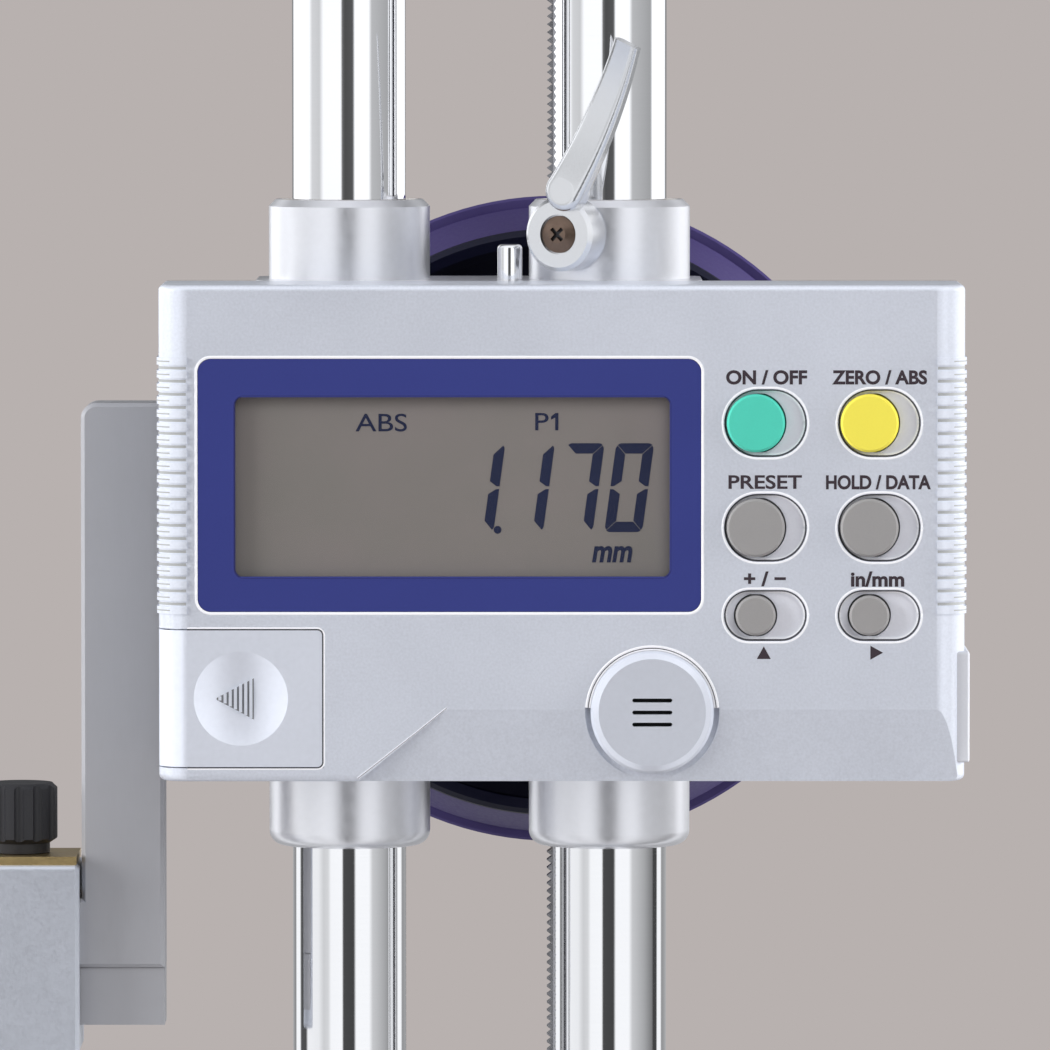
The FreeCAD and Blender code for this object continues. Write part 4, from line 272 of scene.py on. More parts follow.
MATERIALS = {
    "paint": surface("silver_paint", SILVER, 0.5, 0.36, vary=0.08, vary_scale=45, grain=2400,
                     depth=0.000009),
    "lid": surface("silver_moulding", shade(SILVER, 1.12), 0.45, 0.305, vary=0.03, vary_scale=60,
                   grain=1200, depth=0, rough_vary=0.02),
    "cap": surface("silver_cap", shade(SILVER, 0.97), 0.45, 0.31, vary=0.03, vary_scale=60,
                   grain=1200, depth=0, rough_vary=0.02),
    "satin": surface("satin_alloy", (0.84, 0.85, 0.89, 1), 0.85, 0.32, vary=0.03, vary_scale=50,
                     grain=900, depth=0, rough_vary=0.03),
    "chrome": chrome(),
    "rack": surface("rack_steel", (0.42, 0.42, 0.44, 1), 1.0, 0.38, vary=0.1, grain=1500,
                    stretch=(1, 1, 0.2)),
    "iron": surface("ground_iron", (0.62, 0.63, 0.65, 1), 0.85, 0.42, vary=0.06, vary_scale=30,
                    grain=700, depth=0.000006, stretch=(0.12, 5, 5)),
    "arm": surface("ground_steel", linear(180, 181, 186), 0.5, 0.45, vary=0.03, vary_scale=35,
                   grain=1400, depth=0.000004, stretch=(6, 6, 0.3)),
    "clamp": surface("clamp_steel", linear(205, 210, 220), 0.6, 0.36, vary=0.04, vary_scale=80,
                     grain=2500, depth=0.000008),
    "lever": surface("lever_steel", (0.80, 0.81, 0.83, 1), 1.0, 0.24, vary=0.025, vary_scale=90,
                     grain=2600, depth=0.0000012, rough_vary=0.02),
    "bronze": surface("bronze_screw", linear(118, 100, 88), 0.9, 0.34, vary=0.15, vary_scale=400,
                      grain=2500, depth=0.00001),
    "dark": surface("blackened_steel", (0.07, 0.07, 0.075, 1), 0.8, 0.4, vary=0.1, grain=1500),
    "brass": surface("brass", (0.75, 0.56, 0.27, 1), 1.0, 0.33, vary=0.06, vary_scale=200,
                     grain=1500, stretch=(1, 1, 4)),
    "cell": surface("nickel_cell", (0.7, 0.7, 0.71, 1), 1.0, 0.3, vary=0.04, grain=1800),
    "blue": surface("blue_bezel", linear(47, 55, 122), 0.0, 0.42, vary=0.05, vary_scale=50,
                    grain=2800, depth=0.000006, specular=0.35),
    "black": surface("black_moulding", (0.017, 0.017, 0.02, 1), 0.0, 0.5, vary=0.15, grain=2600,
                     depth=0.00001),
    "navy": surface("wheel_disc", NAVY, 0.0, 0.6, vary=0.15, vary_scale=80,
                    grain=1800, depth=0.00002, specular=0.25),
    "violet": rim_material(),
    "green": surface("green_key", linear(74, 197, 175), 0.0, 0.42, vary=0.03, vary_scale=150,
                     grain=3000, depth=0.000004),
    "yellow": surface("yellow_key", linear(232, 220, 81), 0.0, 0.42, vary=0.02, vary_scale=150,
                      grain=3000, depth=0.000004),
    "grey": surface("grey_key", linear(145, 144, 144), 0.0, 0.42, vary=0.03, vary_scale=150,
                    grain=3000, depth=0.000004),
    "port": surface("port_cover", linear(202, 205, 212), 0.0, 0.5, vary=0.04, grain=2500),
    # Darker blue for painted shade on the inner wall of the display window and a thin band beside it
    "blue_shade": surface("bezel_painted_shade", linear(34, 36, 84), 0.0, 0.5, vary=0.05, grain=2800,
                         depth=0.000004, specular=0.3),
    # Paint a little lighter than the cover and without metal, for painted light: it lifts the shaded
    # floors of the key recesses and draws the highlights beside the bend line
    "recess": surface("painted_light", linear(226, 229, 238), 0.0, 0.5, vary=0.03, vary_scale=60,
                      grain=2600, depth=0.00001),
    "shadow": surface("relief_shadow", linear(128, 130, 134), 0.0, 0.6, vary=0.05, grain=2600,
                      depth=0.000004, specular=0.2),
    # Grey paint for painted shade in the grip furrows and along the finer grooves of the ribs
    "furrow_shade": surface("grip_painted_shade", linear(158, 160, 160), 0.0, 0.6, vary=0.05, grain=2600,
                      depth=0.00001, specular=0.2),
    "board": surface("circuit_board", (0.03, 0.16, 0.07, 1), 0.0, 0.35, vary=0.2, vary_scale=500,
                     grain=1800),
    "carbide": surface("carbide", (0.2, 0.2, 0.21, 1), 1.0, 0.3, vary=0.05, grain=2500),
    "ink": surface("label_ink", linear(58, 50, 56), 0.0, 0.6, vary=0.08, vary_scale=500,
                   grain=5000, depth=0.000002, specular=0.2),
    "segment": surface("lcd_segment", linear(20, 27, 56), 0.0, 0.5, vary=0.12, vary_scale=160,
                       grain=3000, depth=0.000001, specular=0.2),
    # Near-white paint for painted highlights along the lips of the key recesses, the bezel, the battery
    # lid and the cap seat
    "rim_highlight": surface("painted_edge_highlight", linear(238, 240, 245), 0.0, 0.45, vary=0.02, grain=2500,
                         depth=0.000004),
    # Dark grey paint for painted shade in the gaps and on the steps beside those lips
    "rim_shade": surface("edge_shadow", linear(70, 70, 76), 0.0, 0.6, vary=0.06, grain=2500,
                        depth=0.000004, specular=0.2),
    "lens": lens_material(),
    "lcd": lcd_material(),
}

NODE_FINISH = {
    "iron": ["base"],
    "dark": ["column_screws", "bridge_screws", "rear_case_screws", "housing_screws", "arm_screws",
             "handwheel_screw"],
    "chrome": ["column_left", "column_right", "dowel_pin"],
    "rack": ["rack_measuring", "rack_feed", "feed_pinion", "measuring_pinion", "wheel_shaft",
             "encoder_disc", "clamp_spindle"],
    "satin": ["slider_body", "top_bridge", "rear_case", "encoder_plate", "housing_back"],
    "brass": ["bush_upper_left", "bush_lower_left", "bush_upper_right", "bush_lower_right",
              "wheel_bush", "feed_gear", "clamp_shoe", "scriber_clamp_pad", "scriber_clamp_washer"],
    "paint": ["front_cover"],
    "lid": ["battery_cover"],
    "cap": ["sounder_cap"],
    "blue": ["display_bezel"],
    "lens": ["display_lens"],
    "lcd": ["lcd_panel"],
    "board": ["circuit_board"],
    "black": ["encoder_head", "key_switches", "sounder", "data_port_socket", "scriber_clamp_screw"],
    "cell": ["battery", "battery_contact"],
    "port": ["data_port_cover"],
    "arm": ["measuring_arm", "scriber"],
    "clamp": ["scriber_clamp"],
    "carbide": ["scriber_tip"],
    "violet": ["handwheel_rim"],
    "navy": ["handwheel_disc"],
    "lever": ["clamp_lever"],
    "bronze": ["clamp_lever_screw"],
    "green": ["on_off_button"],
    "yellow": ["zero_abs_button"],
    "grey": ["preset_button", "hold_data_button", "plus_minus_button", "inch_mm_button"],
}


def dress_nodes():
    """Give every carried-over piece its finish."""
    for finish, names in NODE_FINISH.items():
        for name in names:
            slots = NODES[name].data.materials
            slots.clear()
            slots.append(MATERIALS[finish])


# Meshes made here

def add_piece(name, vertices, faces, finishes, body, indices=None, smooth=False):
    """A mesh piece in metres, riding on a body."""
    mesh = bpy.data.meshes.new(name)
    mesh.from_pydata([Vector(v) * MM for v in vertices], [], faces)
    for finish in finishes:
        mesh.materials.append(MATERIALS[finish])
    for index, polygon in enumerate(mesh.polygons):
        polygon.use_smooth = smooth
        if indices:
            polygon.material_index = indices[index]
    mesh.validate()
    mesh.update()
    piece = bpy.data.objects.new(name, mesh)
    bpy.context.scene.collection.objects.link(piece)
    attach(piece, body)
    return piece


def arc_points(x, z, radius, start, end, steps):
    """Points on an arc, from start to end degrees."""
    points = []
    for step in range(steps + 1):
        angle = math.radians(start + (end - start) * step / steps)
        points.append((x + radius * math.cos(angle), z + radius * math.sin(angle)))
    return points


CORNER_STEPS = 16


def rounded_loop(x, z, half_x, half_z, radius):
    """Points round a rectangle with round corners, given by its centre and half sizes."""
    loop = []
    for side_x, side_z, start in ((1, 1, 0), (-1, 1, 90), (-1, -1, 180), (1, -1, 270)):
        corner_x = x + side_x * (half_x - radius)
        corner_z = z + side_z * (half_z - radius)
        loop += arc_points(corner_x, corner_z, radius, start, start + 90, CORNER_STEPS)
    return loop


def swept_rim(name, centre, half, radius, profile, finishes, body):
    """A rim round a rounded rectangle. The profile lists offset outwards, depth and finish."""
    vertices, faces, indices = [], [], []
    for offset, depth, finish in profile:
        loop = rounded_loop(centre[0], centre[1], half[0] + offset, half[1] + offset,
                            radius + offset)
        vertices += [(x, FACE_Y + depth, z) for x, z in loop]
    count = len(vertices) // len(profile)
    for ring in range(len(profile) - 1):
        for i in range(count):
            following = (i + 1) % count
            faces.append((ring * count + i, ring * count + following,
                          (ring + 1) * count + following, (ring + 1) * count + i))
            indices.append(profile[ring][2])
    return add_piece(name, vertices, faces, finishes, body, indices, smooth=True)


def flat_prism(outlines, y, thickness):
    """Vertices and faces of thin plates with the given outlines, their front at y."""
    vertices, faces = [], []
    for outline in outlines:
        start = len(vertices)
        count = len(outline)
        vertices += [(px, y, pz) for px, pz in outline]
        vertices += [(px, y + thickness, pz) for px, pz in outline]
        faces.append(tuple(range(start, start + count)))
        faces.append(tuple(range(start + 2 * count - 1, start + count - 1, -1)))
        for i in range(count):
            following = (i + 1) % count
            faces.append((start + i, start + count + i, start + count + following,
                          start + following))
    return vertices, faces


def ribbon(name, path, profile, finishes, body):
    """A strip along an open path of x and z. The profile lists offset to the left, depth and finish."""
    sides = []
    for index in range(len(path)):
        before = Vector(path[max(index - 1, 0)])
        after = Vector(path[min(index + 1, len(path) - 1)])
        along = (after - before).normalized()
        sides.append((-along.y, along.x))
    vertices, faces, indices = [], [], []
    for offset, depth, finish in profile:
        vertices += [(x + side_x * offset, FACE_Y + depth, z + side_z * offset)
                     for (x, z), (side_x, side_z) in zip(path, sides)]
    count = len(path)
    for row in range(len(profile) - 1):
        for i in range(count - 1):
            first = row * count + i
            faces.append((first, first + 1, first + count + 1, first + count))
            indices.append(profile[row][2])
    return add_piece(name, vertices, faces, finishes, body, indices, smooth=True)


PRINT_THICKNESS = 0.03


def letters(name, words, box, y, finish, weight=0.02, slant=0.0):
    """Words as thin raised ink, fitted to a box of photograph pixels: left, top, right, bottom."""
    curve = bpy.data.curves.new(name + "_outline", "FONT")
    curve.body = words
    curve.offset = weight
    curve.shear = slant
    curve.resolution_u = 5
    curve.extrude = 0.5
    source = bpy.data.objects.new(name + "_outline", curve)
    bpy.context.scene.collection.objects.link(source)
    graph = bpy.context.evaluated_depsgraph_get()
    mesh = bpy.data.meshes.new_from_object(source.evaluated_get(graph))
    bpy.data.objects.remove(source)
    lows = [min(v.co[axis] for v in mesh.vertices) for axis in (0, 1)]
    highs = [max(v.co[axis] for v in mesh.vertices) for axis in (0, 1)]
    left, top = from_photo(box[0], box[1], y)
    right, bottom = from_photo(box[2], box[3], y)
    wide = (right - left) / (highs[0] - lows[0])
    tall = (top - bottom) / (highs[1] - lows[1])
    vertices = []
    for vertex in mesh.vertices:
        x = left + (vertex.co.x - lows[0]) * wide
        z = bottom + (vertex.co.y - lows[1]) * tall
        vertices.append((x, y - (vertex.co.z + 0.5) * PRINT_THICKNESS, z))
    faces = [tuple(polygon.vertices) for polygon in mesh.polygons]
    return add_piece(name, vertices, faces, [finish], "slider")


# Words by the keys: name, words, box in the photograph's pixels, weight of the strokes
LABELS = (
    ("label_on_off", "ON / OFF", (726, 370, 807, 384.5), 0.034),
    ("label_zero_abs", "ZERO / ABS", (832, 370, 927, 384.5), 0.034),
    ("label_preset", "PRESET", (728.5, 475, 802, 489), 0.02),
    ("label_hold_data", "HOLD / DATA", (826, 475, 931, 489.5), 0.034),
    ("label_plus_minus", "+ / −", (744, 571.5, 786, 586.5), 0.03),
    ("label_inch_mm", "in/mm", (851, 571.5, 904.5, 587), 0.034),
)

# The two small arrows: middles and half sizes in the photograph's pixels
UP_ARROW = (764, 653)
RIGHT_ARROW = (877, 653)
PRINTED_ARROW_HALF = 7.0
PRINTED_ARROW_REACH = 6.3


def make_labels():
    """Printed names of the keys and the two small arrows."""
    for name, words, box, weight in LABELS:
        letters(name, words, box, FACE_Y, "ink", weight)
    half, reach = PRINTED_ARROW_HALF, PRINTED_ARROW_REACH
    x, y = UP_ARROW
    up = [(x - half, y + reach), (x + half, y + reach), (x, y - reach)]
    x, y = RIGHT_ARROW
    right = [(x - reach, y - half), (x - reach, y + half), (x + reach, y)]
    for name, corners in (("label_up_arrow", up), ("label_right_arrow", right)):
        outline = [from_photo(px, py, FACE_Y) for px, py in corners]
        vertices, faces = flat_prism([outline], FACE_Y - PRINT_THICKNESS, PRINT_THICKNESS)
        add_piece(name, vertices, faces, ["ink"], "slider")


# The lid's dish, and the arrow in it measured from the dish's middle
DISH_X = -36.8
DISH_Z = 210.4
DISH_RADIUS = 7.3
DISH_DEPTH = 0.95
ARROW_TIP = -3.75
ARROW_BASE = 2.0
ARROW_HALF = 3.2
ARROW_BLUNT = 0.15
# How far the painted shade sits below the ribs, so that their painted shadow shows under them
ARROW_SHADOW_DROP = 0.08
ARROW_STEPS = 16
ARROW_LANES = 5
ARROW_LIFT = 0.03


def make_lid_arrow():
    """Painted shade: a dark triangle that follows the dish behind the lid's raised ribs and outlines
    them, set a little low to paint their shadow below.
    """
    vertices, faces = [], []
    for step in range(ARROW_STEPS + 1):
        share = step / ARROW_STEPS
        x = ARROW_TIP + (ARROW_BASE - ARROW_TIP) * share
        half = ARROW_BLUNT + (ARROW_HALF - ARROW_BLUNT) * share
        for lane in range(ARROW_LANES):
            z = half * (2 * lane / (ARROW_LANES - 1) - 1) - ARROW_SHADOW_DROP
            reach = math.hypot(x, z) / DISH_RADIUS
            depth = DISH_DEPTH * (1 - reach * reach) - ARROW_LIFT
            vertices.append((DISH_X + x, FACE_Y + depth, DISH_Z + z))
    for step in range(ARROW_STEPS):
        for lane in range(ARROW_LANES - 1):
            first = step * ARROW_LANES + lane
            following = first + ARROW_LANES
            faces.append((first, following, following + 1, first + 1))
    add_piece("lid_arrow_painted_shade", vertices, faces, ["shadow"], "battery_cover",
              smooth=True)


LOCK_AZIMUTH = math.radians(27)
LOCK_X = 20.5
LOCK_Z = 281.8
CROSS_DEPTH = 17.74
CROSS_HALF = 0.29
CROSS_REACH = 1.29


def make_lock_cross():
    """Black sheet on the floor of the lock screw's cross: painted shade for its recess."""
    half, reach = CROSS_HALF, CROSS_REACH
    corners = [(half, half), (reach, half), (reach, -half), (half, -half), (half, -reach),
               (-half, -reach), (-half, -half), (-reach, -half), (-reach, half), (-half, half),
               (-half, reach), (half, reach)]
    vertices = []
    for depth in (CROSS_DEPTH, CROSS_DEPTH - PRINT_THICKNESS):
        for u, v in corners:
            side = (u - v) * math.sqrt(0.5)
            up = (u + v) * math.sqrt(0.5)
            vertices.append((LOCK_X - math.sin(LOCK_AZIMUTH) * depth + math.cos(LOCK_AZIMUTH) * side,
                             -math.cos(LOCK_AZIMUTH) * depth - math.sin(LOCK_AZIMUTH) * side,
                             LOCK_Z + up))
    count = len(corners)
    faces = [tuple(range(count)), tuple(range(2 * count - 1, count - 1, -1))]
    faces += [(i, count + i, count + (i + 1) % count, (i + 1) % count) for i in range(count)]
    add_piece("lock_screw_cross_shade", vertices, faces, ["black"], "clamp_lever")


# Liquid crystal display

DIGIT_WIDTH = 37.9
DIGIT_HALF = 44.2
DIGIT_STROKE = 10.4
DIGIT_CORNER = 6.0
DIGIT_PITCH = 49.6
DIGIT_SLANT = 0.135
DIGIT_RIGHT = 648.2
DIGIT_MIDDLE = 487.6
DIGIT_ARC_STEPS = 4
MITRE_GAP = 0.45
JOINT_GAP = 1.4
JOINT_SLOPE = 5.0


def digit_segments():
    """Outlines of a digit's bars in pixels, from its middle line: x to the right, z up."""
    width, top, stroke, corner = DIGIT_WIDTH, DIGIT_HALF, DIGIT_STROKE, DIGIT_CORNER
    lift = MITRE_GAP * 0.7
    inner = width - stroke
    bar = arc_points(corner, top - corner, corner, 135, 90, DIGIT_ARC_STEPS)
    bar += arc_points(width - corner, top - corner, corner, 90, 45, DIGIT_ARC_STEPS)
    bar += [(inner, top - stroke), (stroke, top - stroke)]
    bar = [(x, z + lift) for x, z in bar]
    side = arc_points(width - corner, top - corner, corner, 45, 0, DIGIT_ARC_STEPS)
    side += [(width, JOINT_GAP), (width - stroke * 0.3, JOINT_GAP)]
    side += [(inner, JOINT_GAP + JOINT_SLOPE), (inner, top - stroke - 2 * lift)]
    side = [(x, z - (lift if z > top - stroke else 0)) for x, z in side]
    return {
        "a": bar,
        "b": side,
        "c": [(x, -z) for x, z in side],
        "d": [(x, -z) for x, z in bar],
        "e": [(width - x, -z) for x, z in side],
        "f": [(width - x, z) for x, z in side],
    }


# The panel's face inside the lens
LCD_LIFT = 0.9
LCD_INSET = 0.3
LCD_CORNER = 1.0
LCD_THICKNESS = 0.05

# The segments that are on in each place, and the point between the first two, in pixels
FIGURES = ("bc", "bc", "abc", "abcdef")
POINT_MIDDLE = (497.6, 529.8)
POINT_RADIUS = 3.9
POINT_STEPS = 24

# Boxes of the small words, and the outline of the small figure one, in pixels
ABS_BOX = (355.5, 413.5, 407, 431.5)
P_BOX = (535.2, 412.8, 548.6, 430.2)
UNIT_BOX = (592, 546, 632.5, 562.5)
SMALL_ONE = ((551.0, 416.4), (555.6, 412.8), (558.4, 412.8), (558.4, 430.2), (555.2, 430.2),
             (555.2, 417.4), (551.0, 419.6))


def make_lcd():
    """Panel face, the figures 1.170, and the small words round them."""
    low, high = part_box("display_lens")
    centre = ((low.x + high.x) / 2 / MM, (low.z + high.z) / 2 / MM)
    half = ((high.x - low.x) / 2 / MM - LCD_INSET, (high.z - low.z) / 2 / MM - LCD_INSET)
    face_y = LCD_Y - LCD_LIFT
    outline = rounded_loop(centre[0], centre[1], half[0], half[1], LCD_CORNER)
    vertices, faces = flat_prism([outline], face_y, LCD_THICKNESS)
    add_piece("lcd_face", vertices, faces, ["lcd"], "slider")

    bars = digit_segments()
    outlines = []
    for place, shown in enumerate(FIGURES):
        left = DIGIT_RIGHT - DIGIT_WIDTH - (len(FIGURES) - 1 - place) * DIGIT_PITCH
        for letter in shown:
            outlines.append([from_photo(left + x + DIGIT_SLANT * z, DIGIT_MIDDLE - z, face_y)
                             for x, z in bars[letter]])
    last_angle = 360 - 360 / POINT_STEPS
    dot = arc_points(*POINT_MIDDLE, POINT_RADIUS, 0, last_angle, POINT_STEPS - 1)
    outlines.append([from_photo(px, py, face_y) for px, py in dot])
    vertices, faces = flat_prism(outlines, face_y - PRINT_THICKNESS, PRINT_THICKNESS * 0.9)
    add_piece("lcd_figures", vertices, faces, ["segment"], "slider")
    letters("lcd_abs", "ABS", ABS_BOX, face_y, "segment", weight=0.004)
    letters("lcd_p", "P", P_BOX, face_y, "segment", weight=0.004)
    outline = [from_photo(px, py, face_y) for px, py in SMALL_ONE]
    vertices, faces = flat_prism([outline], face_y - PRINT_THICKNESS, PRINT_THICKNESS * 0.9)
    add_piece("lcd_one", vertices, faces, ["segment"], "slider")
    letters("lcd_mm", "mm", UNIT_BOX, face_y, "segment", weight=0.03, slant=0.2)


# Rims of the recesses, drawn with painted highlights and painted shade

KEYS = ("on_off_button", "zero_abs_button", "preset_button", "hold_data_button",
        "plus_minus_button", "inch_mm_button")
SLOT_LENGTH = 12.8
SLOT_SHIFT = 1.5
LARGE_SLOT = 10.5
SMALL_SLOT = 7.9
LARGE_KEY = 10.0
KEY_FLANGE = 0.9
KEY_GAP = 0.3
FLOOR_INSET = 0.4
FLOOR_DEPTH = 1.06

# Lip of a recess: offset outwards, depth, and finish (painted highlight, painted shade, lighter paint
# as painted light on the floor)
SLOT_LIP = (
    (0.4, 0.0, 0), (0.32, -0.04, 0), (0.12, -0.04, 0), (0.03, 0.03, 1), (-0.2, 0.4, 1),
    (-0.26, 0.8, 0), (-0.5, 1.04, 2), (-0.7, 1.05, 2),
)


def make_recess_floor(name, x, z, height, key_radius):
    """Floor of a key's recess, from its wall to the gap round the key, in lighter paint as painted
    light against the shade of the recess.
    """
    half_length = SLOT_LENGTH / 2 - FLOOR_INSET
    half_height = height / 2 - FLOOR_INSET
    outer = rounded_loop(x, z, half_length, half_height, half_height)
    hole = key_radius + KEY_GAP
    inner = rounded_loop(x - SLOT_SHIFT, z, hole, hole, hole)
    vertices = [(px, FACE_Y + FLOOR_DEPTH, pz) for px, pz in outer + inner]
    count = len(outer)
    faces = [(i, (i + 1) % count, count + (i + 1) % count, count + i) for i in range(count)]
    add_piece(name.replace("button", "painted_light"), vertices, faces, ["recess"], "slider")


def make_slot_rims():
    """Rounded lip of each key's recess with a painted highlight on it, painted shade on the step inside
    it, another painted highlight at the step's foot, and lighter paint on the floor.
    """
    for name in KEYS:
        low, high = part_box(name)
        width = (high.x - low.x) / MM
        x = (low.x + high.x) / 2 / MM + SLOT_SHIFT
        z = (low.z + high.z) / 2 / MM
        height = LARGE_SLOT if width > LARGE_KEY else SMALL_SLOT
        swept_rim(name.replace("button", "recess_lip"), (x, z), (SLOT_LENGTH / 2, height / 2),
                  height / 2, SLOT_LIP, ["rim_highlight", "rim_shade", "recess"], "slider")
        make_recess_floor(name, x, z, height, width / 2 - KEY_FLANGE)


BEZEL_RADIUS = 2.0
BEZEL_LIP = ((0.52, 0.0, 0), (0.42, -0.05, 0), (0.14, -0.05, 0), (0.07, 0.03, 1), (-0.06, 0.05, 1))


def make_bezel_lip():
    """Painted highlight on the cover's lip round the bezel, with a thin line of painted shade inside
    it.
    """
    low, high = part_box("display_bezel")
    centre = ((low.x + high.x) / 2 / MM, (low.z + high.z) / 2 / MM)
    half = ((high.x - low.x) / 2 / MM, (high.z - low.z) / 2 / MM)
    swept_rim("bezel_lip", centre, half, BEZEL_RADIUS, BEZEL_LIP, ["rim_highlight", "rim_shade"],
              "slider")


# Window in the bezel: two corners in the photograph's pixels, then its edge, with darker blue as
# painted shade on its wall and a thin band beside it
WINDOW_TOP_LEFT = (235, 397)
WINDOW_BOTTOM_RIGHT = (670, 577.5)
WINDOW_RADIUS = 1.3
WINDOW_LIP = (
    (0.6, 0.0, 0), (0.5, -0.015, 0), (0.22, -0.015, 1), (0.02, 0.02, 1), (0.0, 0.2, 1),
    (-0.02, 1.15, 1),
)


def make_window_lip():
    """Rounded inner edge of the bezel round the display, its wall and a thin band on its face in darker
    blue as painted shade.
    """
    left, top = from_photo(*WINDOW_TOP_LEFT, FACE_Y)
    right, bottom = from_photo(*WINDOW_BOTTOM_RIGHT, FACE_Y)
    centre = ((left + right) / 2, (top + bottom) / 2)
    half = ((right - left) / 2, (top - bottom) / 2)
    swept_rim("window_lip", centre, half, WINDOW_RADIUS, WINDOW_LIP, ["blue", "blue_shade"],
              "slider")


LID_RADIUS = 0.85
LID_ARC_STEPS = 8
LID_FLAT_LEFT = -45.1
LID_SIDE_GAP = 0.08
LID_END_GAP = 0.1
LID_LIP = ((0.36, 0.0, 0), (0.3, -0.03, 0), (0.13, -0.03, 1), (0.07, -0.012, 1), (-0.1, -0.012, 1))


def make_lid_lip():
    """Painted shade in the gap and a painted highlight on the cover's lip along the battery lid's three
    edges.
    """
    low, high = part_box("battery_cover")
    top, bottom = high.z / MM + LID_END_GAP, low.z / MM - LID_END_GAP
    bend_x = high.x / MM + LID_SIDE_GAP - LID_RADIUS
    path = [(LID_FLAT_LEFT, top)]
    path += arc_points(bend_x, top - LID_RADIUS, LID_RADIUS, 90, 0, LID_ARC_STEPS)
    path += arc_points(bend_x, bottom + LID_RADIUS, LID_RADIUS, 0, -90, LID_ARC_STEPS)
    path.append((LID_FLAT_LEFT, bottom))
    ribbon("lid_lip", path, LID_LIP, ["rim_highlight", "rim_shade"], "slider")


# Slanting edge of the cover's bend, in the photograph's pixels, and the painted shadow line between two
# painted highlights that draws its groove
BEND_EDGE = ((358, 780), (388, 756.5), (418, 733), (447, 709.5))
BEND_SHADE_LINE = (
    (0.34, 0.0, 0), (0.3, -0.015, 0), (0.19, -0.015, 1), (0.07, -0.015, 0), (0.0, -0.005, 0),
)


def make_bend_line():
    """Painted shadow line with a painted highlight on each side, drawing a fine groove along the
    slanting edge where the cover's front starts to fall back.
    """
    path = [from_photo(px, py, FACE_Y) for px, py in BEND_EDGE]
    ribbon("bend_line", path, BEND_SHADE_LINE, ["recess", "shadow"], "slider")


# Seat of the round cap: radius, and the upper half round from the left, in degrees
CAP_SEAT_RADIUS = 9.95
CAP_SEAT_LEFT = 176
CAP_SEAT_RIGHT = 4
CAP_SEAT_STEPS = 60
# Profile of the painted highlight on the seat edge, the thin painted shade line, and the light paint
# laid over the shaded ring round the cap
CAP_LIP = (
    (0.44, 0.0, 0), (0.36, -0.05, 0), (0.1, -0.05, 0), (0.04, 0.02, 1), (-0.1, 0.02, 0),
    (-0.35, 0.02, 0),
)


def make_cap_lip():
    """Painted highlight on the seat edge over the upper half of the round cap, a thin line of painted
    shade, and light paint over the shaded ring inside it.
    """
    low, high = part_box("sounder_cap")
    x, z = (low.x + high.x) / 2 / MM, (low.z + high.z) / 2 / MM
    path = arc_points(x, z, CAP_SEAT_RADIUS, CAP_SEAT_LEFT, CAP_SEAT_RIGHT, CAP_SEAT_STEPS)
    ribbon("cap_lip", path, CAP_LIP, ["rim_highlight", "rim_shade"], "slider")


HOUSING_LEFT = -49.6
HOUSING_RIGHT = 75.4
HOUSING_CORNER = 4.5
GRIP_TOP = 263.2
GRIP_PITCH = 2.03
GRIP_THICKNESS = 1.15
GRIP_PROUD = 0.3
GRIP_COUNT = 20
GRIP_REACH = 6.0
FURROW_WIDTH = 0.42
FURROW_START = 2
FINE_WIDTH = 0.2
FINE_START = 34
STRIP_STEPS = 12
SURFACE_LIFT = 0.02


def corner_strip(side, radius, first_angle, low, high):
    """Points of a strip that hugs a rounded side from an angle off the front to its back."""
    if side < 0:
        centre_x = HOUSING_LEFT + HOUSING_CORNER
    else:
        centre_x = HOUSING_RIGHT - HOUSING_CORNER
    centre_y = FACE_Y + HOUSING_CORNER
    lane = []
    for step in range(STRIP_STEPS + 1):
        angle = math.radians(first_angle + (90 - first_angle) * step / STRIP_STEPS)
        x = centre_x + side * radius * math.sin(angle)
        lane.append((x, centre_y - radius * math.cos(angle)))
    lane.append((lane[-1][0], centre_y + GRIP_REACH))
    return [(x, y, z) for x, y in lane for z in (low, high)]


def make_grip_furrows():
    """Painted shade in the furrows between the grip ribs, and a finer painted shade line on each rib's
    outer half.
    """
    strips = []
    for rib in range(GRIP_COUNT):
        rib_middle = GRIP_TOP - GRIP_THICKNESS / 2 - rib * GRIP_PITCH
        rib_radius = HOUSING_CORNER + GRIP_PROUD + SURFACE_LIFT
        strips.append((rib_radius, FINE_START, rib_middle, FINE_WIDTH))
        if rib + 1 < GRIP_COUNT:
            furrow_radius = HOUSING_CORNER + SURFACE_LIFT
            strips.append((furrow_radius, FURROW_START, rib_middle - GRIP_PITCH / 2, FURROW_WIDTH))
    for side, name in ((-1, "left"), (1, "right")):
        vertices, faces = [], []
        for radius, first_angle, middle, width in strips:
            start = len(vertices)
            points = corner_strip(side, radius, first_angle, middle - width / 2, middle + width / 2)
            vertices += points
            faces += [(start + i, start + i + 1, start + i + 3, start + i + 2)
                      for i in range(0, len(points) - 2, 2)]
        add_piece("grip_furrows_" + name, vertices, faces, ["furrow_shade"], "slider",
                  smooth=True)


PORT_FRONT = -33.6
PORT_BEVEL = 0.35


